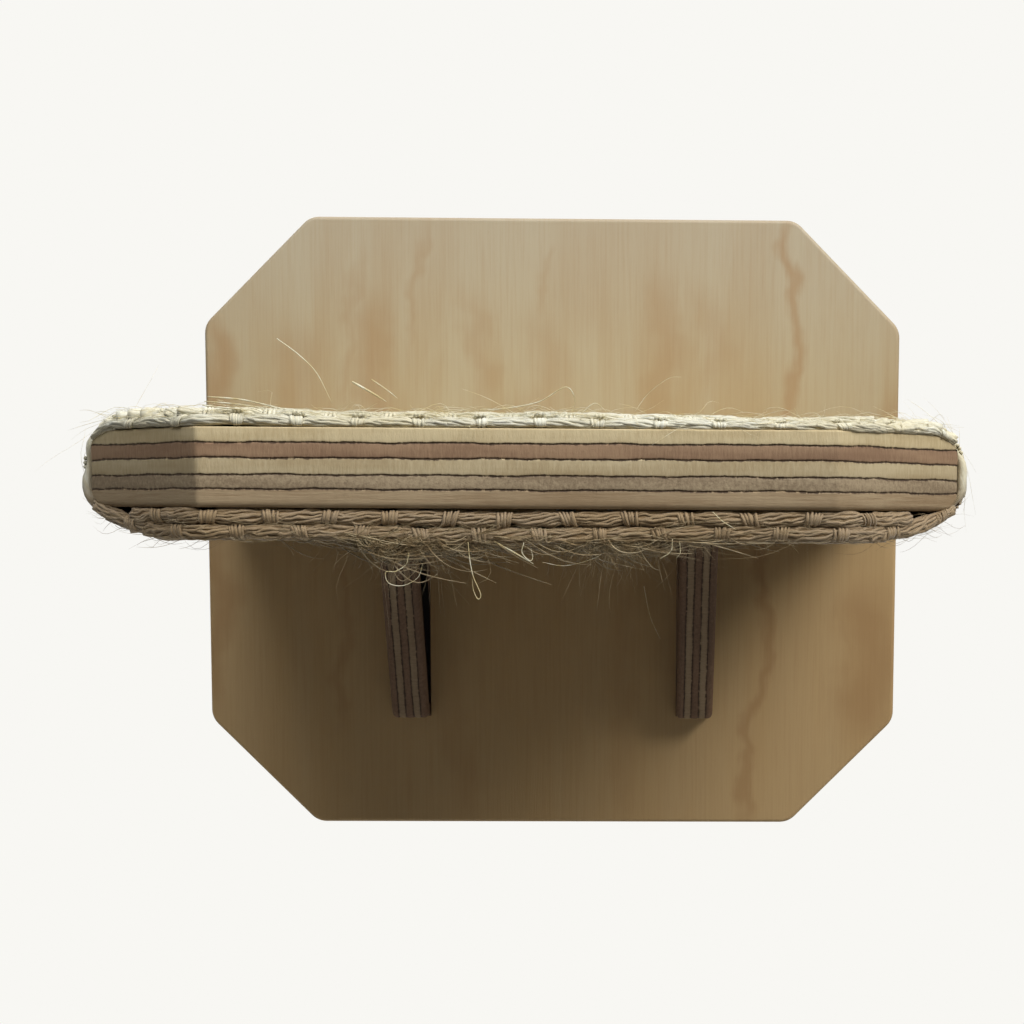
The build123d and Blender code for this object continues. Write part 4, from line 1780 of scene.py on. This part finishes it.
@dataclass
class LooseEnds:
    """All that stands out of the weave: short fuzz, frayed ends and single long hairs."""

    mat: SisalMat
    light: bpy.types.Material
    # dark: the same fibre in darker, browner colours, painted shade for the hairs underneath
    dark: bpy.types.Material

    def over_mat(
        self, count: int, rng: np.random.Generator, low: float, high: float
    ) -> tuple[np.ndarray, np.ndarray, np.ndarray]:
        """Random places on the wrap, directions along the wefts there, and out of the mat.

        Args:
            count: how many.
            rng: the random source.
            low, high: the share of the wrap's length that they lie in.

        Returns:
            (n, 3) places, (n, 3) directions along and (n, 3) directions out.
        """
        mat, board = self.mat, self.mat.board
        place = rng.uniform(low, high, count) * mat.wrap.length
        flat, normal = mat.wrap.at(place)
        start = board.front + np.clip(np.abs(flat[:, 0]) - (board.half_width - board.clip), 0, board.clip)
        y = start + 1.5 * MM + (mat.back - start - 3 * MM) * rng.uniform(0, 1, count) ** 1.2
        points = np.stack([flat[:, 0], y, flat[:, 1]], axis=1)
        out = np.stack([normal[:, 0], np.zeros(count), normal[:, 1]], axis=1)
        way = np.stack([normal[:, 1], np.zeros(count), -normal[:, 0]], axis=1)
        way = way * rng.choice([-1.0, 1.0], (count, 1)) + [0.0, 1.0, 0.0] * rng.normal(0, 0.4, (count, 1))
        way /= np.linalg.norm(way, axis=1, keepdims=True)
        return mat.settle(points + out * 0.9 * MM), way, out

    def fuzz(self) -> list[bpy.types.Object]:
        """Short hairs all over the mat, most of them lying along the yarns.

        Returns:
            The hair on top, and the hair on each side underneath.
        """
        rng = np.random.default_rng(71)
        made = []
        for name, count, low, high, finish in (
            ("fuzz_over", 1300, 0.28, 0.79, self.light),
            ("fuzz_under_left", 380, 0.01, 0.27, self.dark),
            ("fuzz_under_right", 340, 0.80, 0.99, self.dark),
        ):
            hairs = Fibres(name, 0.045 * MM, 6)
            starts, along, out = self.over_mat(count, rng, low, high)
            lengths = rng.gamma(2.5, 2.4, count) * MM + 2.0 * MM
            rise = rng.gamma(1.6, 0.35, count) * MM
            hairs.arched(starts, along, out, lengths, rise, rng)
            starts, along, out = self.over_mat(count // 5, rng, low, high)
            aim = along + out * rng.uniform(0.02, 0.35, (len(out), 1))
            hairs.free(starts, aim, rng.gamma(2.2, 1.0, len(out)) * MM + 1 * MM, 0.05, 0.2, rng)
            made.append(hairs.build(finish))
        return made

    def front_fuzz(self) -> list[bpy.types.Object]:
        """Hairs along the front edge, above and below the board.

        Returns:
            The hair above the board and below it.
        """
        rng = np.random.default_rng(72)
        mat, board = self.mat, self.mat.board
        made = []
        for name, level, way, count, finish in (
            ("front_fuzz_over", board.top + 0.62 * mat.over, 1.0, 420, self.light),
            ("front_fuzz_under", board.bottom - 0.60 * mat.under, -1.0, 620, self.dark),
        ):
            hairs = Fibres(name, 0.05 * MM, 7)
            x = rng.uniform(-1, 1, count) * (board.half_width - 6 * MM)
            y = board.front + np.clip(np.abs(x) - (board.half_width - board.clip), 0, board.clip)
            spread = 1.3 if way > 0 else 2.6
            rise_at_sides = 0.0 if way > 0 else 1.0
            z = level + rng.uniform(-spread, spread, count) * MM
            z = z + rise_at_sides * 0.75 * (mat.wrap.under_at(x) - mat.wrap.low)
            starts = mat.settle(np.stack([x, y + rng.uniform(0.2, 3.0, count) * MM, z], axis=1))
            along = rng.standard_normal((count, 3)) * [0.25, 0.22, 0.16] + [1.0, 0.0, 0.0]
            along *= rng.choice([-1.0, 1.0], (count, 1))
            along /= np.linalg.norm(along, axis=1, keepdims=True)
            out = np.tile([0.0, -0.45, 0.9 * way], (count, 1))
            lengths = rng.gamma(2.5, 2.0, count) * MM + 1.5 * MM
            arched = rng.uniform(0, 1, count) < 0.8
            hairs.arched(
                starts[arched], along[arched], out[arched], lengths[arched],
                rng.gamma(1.5, 0.4, int(arched.sum())) * MM, rng,
            )
            rest = ~arched
            aim = along[rest] * 0.9 + out[rest] * rng.uniform(0.0, 0.45, (int(rest.sum()), 1))
            hairs.free(starts[rest], aim, 0.55 * lengths[rest], 0.05, 0.25, rng)
            made.append(hairs.build(finish))
        return made

    def frayed(self) -> list[bpy.types.Object]:
        """The unravelled cut ends under the middle: tufts that hang and curl.

        Returns:
            All tufts as one object.
        """
        rng = np.random.default_rng(73)
        mat, board = self.mat, self.mat.board
        tufts = (
            Tuft(-30.0, 5.0, 3.0, 3.4, 300, 0.8),
            Tuft(-23.0, 4.0, 3.0, 4.2, 300, 0.8),
            Tuft(-13.0, 5.0, 4.0, 2.8, 200, 0.7),
            Tuft(0.0, 8.0, 5.0, 2.0, 160, 0.6),
            Tuft(17.0, 6.0, 6.0, 3.6, 900, 0.4),
            Tuft(26.0, 5.0, 6.0, 4.0, 850, 0.4),
            Tuft(38.0, 7.0, 5.0, 2.6, 260, 0.4),
            Tuft(-48.0, 8.0, 5.0, 1.6, 90, 0.5),
            Tuft(55.0, 9.0, 6.0, 1.6, 110, 0.5),
        )
        hairs = Fibres("frayed_ends", 0.038 * MM, 8)
        for tuft in tufts:
            x = rng.normal(tuft.middle, tuft.spread, tuft.count) * MM
            y = board.front + rng.uniform(1.2, 3.0 * tuft.depth, tuft.count) * MM
            z = np.full(tuft.count, board.bottom - mat.under) + rng.uniform(0.0, 1.6, tuft.count) * MM
            starts = mat.settle(np.stack([x, y, z], axis=1))
            aim = rng.standard_normal((tuft.count, 3)) * [0.9, 0.5, 0.35] + [0.0, -0.05, -0.6]
            aim /= np.linalg.norm(aim, axis=1, keepdims=True)
            lengths = np.minimum(rng.gamma(3.0, tuft.length / 3.0, tuft.count), 8.0) * MM
            hairs.free(starts, aim, lengths, 0.12, tuft.curl, rng)
        return [hairs.build(self.dark)]

    def lumps(self) -> list[bpy.types.Object]:
        """Coarse unravelled strands that bulge under the left of the middle, in loose loops.

        Returns:
            All strands as one object.
        """
        rng = np.random.default_rng(74)
        mat, board = self.mat, self.mat.board
        hairs = Fibres("unravelled_strands", 0.16 * MM, 14)
        for middle, spread, drop, count in (
            (-29.0, 6.0, 5.6, 300),
            (-15.0, 8.0, 3.2, 160),
            (8.0, 9.0, 1.9, 60),
            (27.0, 10.0, 2.4, 130),
            (44.0, 7.0, 1.6, 40),
            (-46.0, 8.0, 1.5, 40),
        ):
            half = rng.gamma(5.0, 0.9, count) * MM
            x = rng.normal(middle, spread, count) * MM
            y = board.front + rng.uniform(1.0, 9.0, count) * MM
            z = board.bottom - mat.under + rng.uniform(0.2, 2.2, count) * MM
            starts = mat.settle(np.stack([x - half, y, z], axis=1))
            along = np.tile([1.0, 0.0, 0.0], (count, 1)) + rng.normal(0, 0.22, (count, 3))
            near = np.exp(-(((x / MM - middle) / (1.1 * spread)) ** 2))
            rise = drop * MM * near * rng.uniform(0.25, 1.05, count)
            out = np.tile([0.0, -0.12, -1.0], (count, 1))
            hairs.arched(starts, along, out, 2 * half, rise, rng)
        return [hairs.build(self.dark)]

    def strays(self) -> bpy.types.Object:
        """The single hairs.

        Returns:
            All of them as one object.
        """
        board = self.mat.board
        loop = (
            (-25.0, -5.0), (-25.6, -7.6), (-28.0, -9.2), (-30.2, -9.4),
            (-29.6, -11.8), (-26.4, -12.4), (-23.0, -10.6), (-21.8, -7.4),
        )
        hook = (
            (-11.6, -2.5), (-11.2, -6.5), (-10.4, -10.4), (-8.8, -14.2),
            (-9.4, -15.4), (-10.4, -13.4), (-10.7, -10.8),
        )
        strays = (
            Stray(((-54.9, 43.0), (-50.0, 39.4), (-46.0, 35.3), (-42.7, 28.8)), 6.0),
            Stray(((-37.5, 33.2), (-33.5, 31.0), (-29.8, 28.8)), 2.0, 0.30),
            Stray(((-33.4, 33.9), (-30.0, 31.6), (-27.6, 29.7)), 4.0),
            Stray(((-9.0, 27.1), (-3.5, 27.4), (4.4, 29.0), (10.4, 32.3), (12.5, 29.4), (11.2, 26.0)), 1.5),
            Stray(((14.0, 26.5), (17.0, 28.7), (19.5, 27.0)), 1.0, 0.12),
            Stray(((26.0, 27.0), (29.0, 31.0), (33.5, 34.4), (36.5, 34.8)), 2.5, 0.06),
            Stray(((-69.6, 29.6), (-62.0, 29.0), (-55.0, 27.5), (-50.0, 26.4)), 1.0, 0.20),
            Stray(((-70.4, 28.6), (-62.0, 27.9), (-56.0, 26.9)), 1.2, 0.16),
            Stray(((-70.8, 27.7), (-66.0, 27.2), (-61.0, 26.6)), 0.9, 0.18),
            Stray(loop, 0.6, 0.13),
            Stray(hook, 0.4),
            Stray(((-5.6, -2.4), (-1.2, -4.8), (3.2, -7.4)), 0.6, 0.24),
            Stray(((1.0, -2.6), (0.6, -4.8), (2.2, -6.6), (3.0, -6.0), (2.6, -3.8)), 0.3),
            Stray(((34.6, -1.6), (34.2, -4.4), (31.6, -6.2)), 0.4, 0.14),
            Stray(((36.2, -2.0), (36.4, -4.6), (35.4, -6.0)), 0.5, 0.14),
            Stray(((5.0, -7.0), (10.0, -7.8), (16.0, -6.4), (20.0, -4.4)), 3.0, 0.08),
            Stray(((43.6, 4.6), (46.0, 2.4), (49.0, 0.6)), -0.2, 0.14),
            Stray(((29.6, -18.0), (31.5, -27.0), (34.6, -34.0)), 150.0, 0.1),
        )
        routes = [
            np.array([(x * MM, board.front + hair.depth * MM, z * MM) for x, z in hair.route])
            for hair in strays
        ]
        hairs = Fibres("stray_hairs", 0.15 * MM)
        hairs.routed(routes, [hair.thickness * MM for hair in strays])
        return hairs.build(self.light)


def smooth_through(known: np.ndarray, values: np.ndarray, fine: np.ndarray) -> np.ndarray:
    """A smooth curve through values: cubic pieces whose slopes are those of their neighbours.

    Args:
        known: whole-numbered places of the values.
        values: what the curve passes through.
        fine: where it is read.

    Returns:
        The curve's values.
    """
    slopes = np.gradient(values, known)
    start = np.clip(np.floor(fine).astype(int), 0, len(known) - 2)
    t = fine - start
    first, second = values[start], values[start + 1]
    rise, fall = slopes[start], slopes[start + 1]
    return (
        (2 * t**3 - 3 * t**2 + 1) * first
        + (t**3 - 2 * t**2 + t) * rise
        + (3 * t**2 - 2 * t**3) * second
        + (t**3 - t**2) * fall
    )


@dataclass
class Fixings:
    """The steel: screws, keyhole hanger plates and staples, dressed where they are."""

    def dress(self) -> None:
        """Puts a finish on each."""
        yellow = PlatedSteel("yellow_zinc", linear(214, 190, 120), linear(186, 158, 96), 0.28)
        bright = PlatedSteel("bright_zinc", linear(206, 209, 212), linear(176, 180, 184), 0.26)
        wire = PlatedSteel("staple_wire", linear(196, 196, 192), linear(158, 158, 154), 0.36)
        screws = yellow.material()
        for node in ("step_screws", "gusset_screws", "hanger_screws"):
            dress(node, screws)
        plates = bright.material()
        for node in ("hanger_plate_left", "hanger_plate_right"):
            dress(node, plates)
        dress("mat_staples", wire.material())


@dataclass
class Studio:
    """Camera, lamps, background and floor."""

    focal_pixels: float = 1946.5
    middle_pixel: tuple[float, float] = (666.9, 714.3)
    picture: float = 1024.0
    camera_place: tuple[float, float, float] = (0.02401, -0.66971, 0.00455)
    yaw: float = -0.0216
    pitch: float = 0.1037
    roll: float = 0.0054
    floor_height: float = -0.85

    def camera(self) -> None:
        """Sets the camera where the photograph was taken from, level with the board."""
        data = bpy.data.cameras.new("camera")
        data.sensor_width = 36.0
        data.lens = self.focal_pixels * data.sensor_width / self.picture
        data.shift_x = (self.picture / 2 - self.middle_pixel[0]) / self.picture
        data.shift_y = (self.middle_pixel[1] - self.picture / 2) / self.picture
        data.clip_start = 0.01
        ahead = Vector(
            (
                -math.sin(self.yaw) * math.cos(self.pitch),
                math.cos(self.yaw) * math.cos(self.pitch),
                -math.sin(self.pitch),
            )
        )
        level = Vector((math.cos(self.yaw), math.sin(self.yaw), 0.0))
        above = level.cross(ahead)
        right = level * math.cos(self.roll) + above * math.sin(self.roll)
        up = right.cross(ahead)
        turned = Matrix((right, up, -ahead)).transposed()
        camera = bpy.data.objects.new("camera", data)
        camera.matrix_world = Matrix.Translation(self.camera_place) @ turned.to_4x4()
        bpy.context.scene.collection.objects.link(camera)
        bpy.context.scene.camera = camera

    @staticmethod
    def lamp(
        name: str,
        place: Sequence[float],
        aim: Sequence[float],
        size: float,
        power: float,
        colour: Colour = (1.0, 1.0, 1.0),
    ) -> None:
        """One square soft lamp.

        Args:
            name: its name.
            place: where it is.
            aim: what it points at.
            size: its side, in metres.
            power: in watts.
            colour: of its light.
        """
        data = bpy.data.lights.new(name, "AREA")
        data.color = colour
        data.shape = "SQUARE"
        data.size = size
        data.energy = power
        made = bpy.data.objects.new(name, data)
        made.location = place
        made.rotation_euler = (Vector(aim) - Vector(place)).to_track_quat("-Z", "Y").to_euler()
        bpy.context.scene.collection.objects.link(made)

    def world(self) -> None:
        """A soft even light all round, and the pale background where the camera looks past."""
        world = bpy.data.worlds.new("studio")
        bpy.context.scene.world = world
        world.use_nodes = True
        tree = world.node_tree
        tree.nodes.clear()
        seen = tree.nodes.new("ShaderNodeBackground")
        seen.inputs[0].default_value = (*linear(248, 247, 243), 1.0)
        light = tree.nodes.new("ShaderNodeBackground")
        light.inputs[0].default_value = (1.0, 0.95, 0.88, 1.0)
        light.inputs[1].default_value = 0.035
        path = tree.nodes.new("ShaderNodeLightPath")
        either, any_of = (tree.nodes.new("ShaderNodeMath") for _ in range(2))
        either.operation = any_of.operation = "MAXIMUM"
        blend = tree.nodes.new("ShaderNodeMixShader")
        output = tree.nodes.new("ShaderNodeOutputWorld")
        tree.links.new(path.outputs["Is Camera Ray"], either.inputs[0])
        tree.links.new(path.outputs["Is Transmission Ray"], either.inputs[1])
        tree.links.new(path.outputs["Is Glossy Ray"], any_of.inputs[0])
        tree.links.new(either.outputs[0], any_of.inputs[1])
        tree.links.new(any_of.outputs[0], blend.inputs[0])
        tree.links.new(light.outputs[0], blend.inputs[1])
        tree.links.new(seen.outputs[0], blend.inputs[2])
        tree.links.new(blend.outputs[0], output.inputs[0])

    def floor(self) -> None:
        """A round floor well below the step."""
        turn = np.linspace(0, 2 * np.pi, 96, endpoint=False)
        rim = np.stack([np.cos(turn), np.sin(turn), np.zeros(96)], axis=1) * 0.8
        rim[:, 2] = self.floor_height
        mesh = bpy.data.meshes.new("floor")
        mesh.from_pydata(rim.tolist(), [], [list(range(96))])
        mesh.materials.append(StudioFloor().material())
        made = bpy.data.objects.new("floor", mesh)
        bpy.context.scene.collection.objects.link(made)

    def build(self) -> None:
        """Sets everything up."""
        self.camera()
        self.world()
        self.floor()
        self.lamp("key", (0.86, -1.28, 1.43), (0.0, -0.08, 0.0), 0.7, 17.0)
        self.lamp("side_key", (1.30, -1.22, 1.22), (0.0, -0.08, 0.0), 0.7, 20.5, (1.0, 0.96, 0.90))
        self.lamp("overhead", (0.1, -0.35, 1.9), (0.0, -0.1, 0.0), 1.2, 12.0)
        self.lamp("left_fill", (-0.36, -1.40, 1.5), (0.0, -0.1, 0.0), 0.7, 13.5)
        self.lamp("low_fill", (0.5, -1.3, -0.9), (0.0, -0.1, 0.0), 1.2, 0.4, (1.0, 0.86, 0.72))
        self.lamp("back_fill", (-0.9, 1.5, 0.9), (0.0, 0.0, 0.0), 1.2, 12.0)
        view = bpy.context.scene.view_settings
        view.view_transform = "Standard"


def main() -> None:
    """Builds the step, piece by piece, and reports each."""
    logging.basicConfig(level=logging.INFO, format="%(message)s")
    Studio().build()
    board = StepBoard()
    for piece in board.build():
        LOG.info("made %s", piece.name)
    for side in ("left", "right"):
        for piece in Gusset(side).build():
            LOG.info("made %s", piece.name)
    BackPlate().dress()
    Fixings().dress()
    mat = SisalMat(board)
    weft = SisalYarn("sisal_weft").material()
    warp = SisalYarn("sisal_warp", strands=5.0).material()
    ground = mat.build_ground(MatBacking().material())
    weave = [
        *mat.build_wefts(weft),
        *mat.build_edges(weft, warp),
        mat.build_folded(weft),
        *mat.build_warps(warp),
    ]
    over = LooseFibre("fibre_over", linear(232, 228, 202), linear(206, 190, 140)).material()
    # The hairs underneath take the same fibre in darker, browner colours: painted shade.
    under = LooseFibre("fibre_under_painted_shade", linear(166, 150, 118), linear(136, 116, 82)).material()
    ends = LooseEnds(mat, over, under)
    hair = [*ends.fuzz(), *ends.front_fuzz(), *ends.frayed(), *ends.lumps(), ends.strays()]
    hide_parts("sisal_cover")
    for piece in (ground, *weave, *hair):
        triangles = sum(len(face.vertices) - 2 for face in piece.data.polygons)
        LOG.info("made %s, %d triangles", piece.name, triangles)


if __name__ == "__main__":
    main()
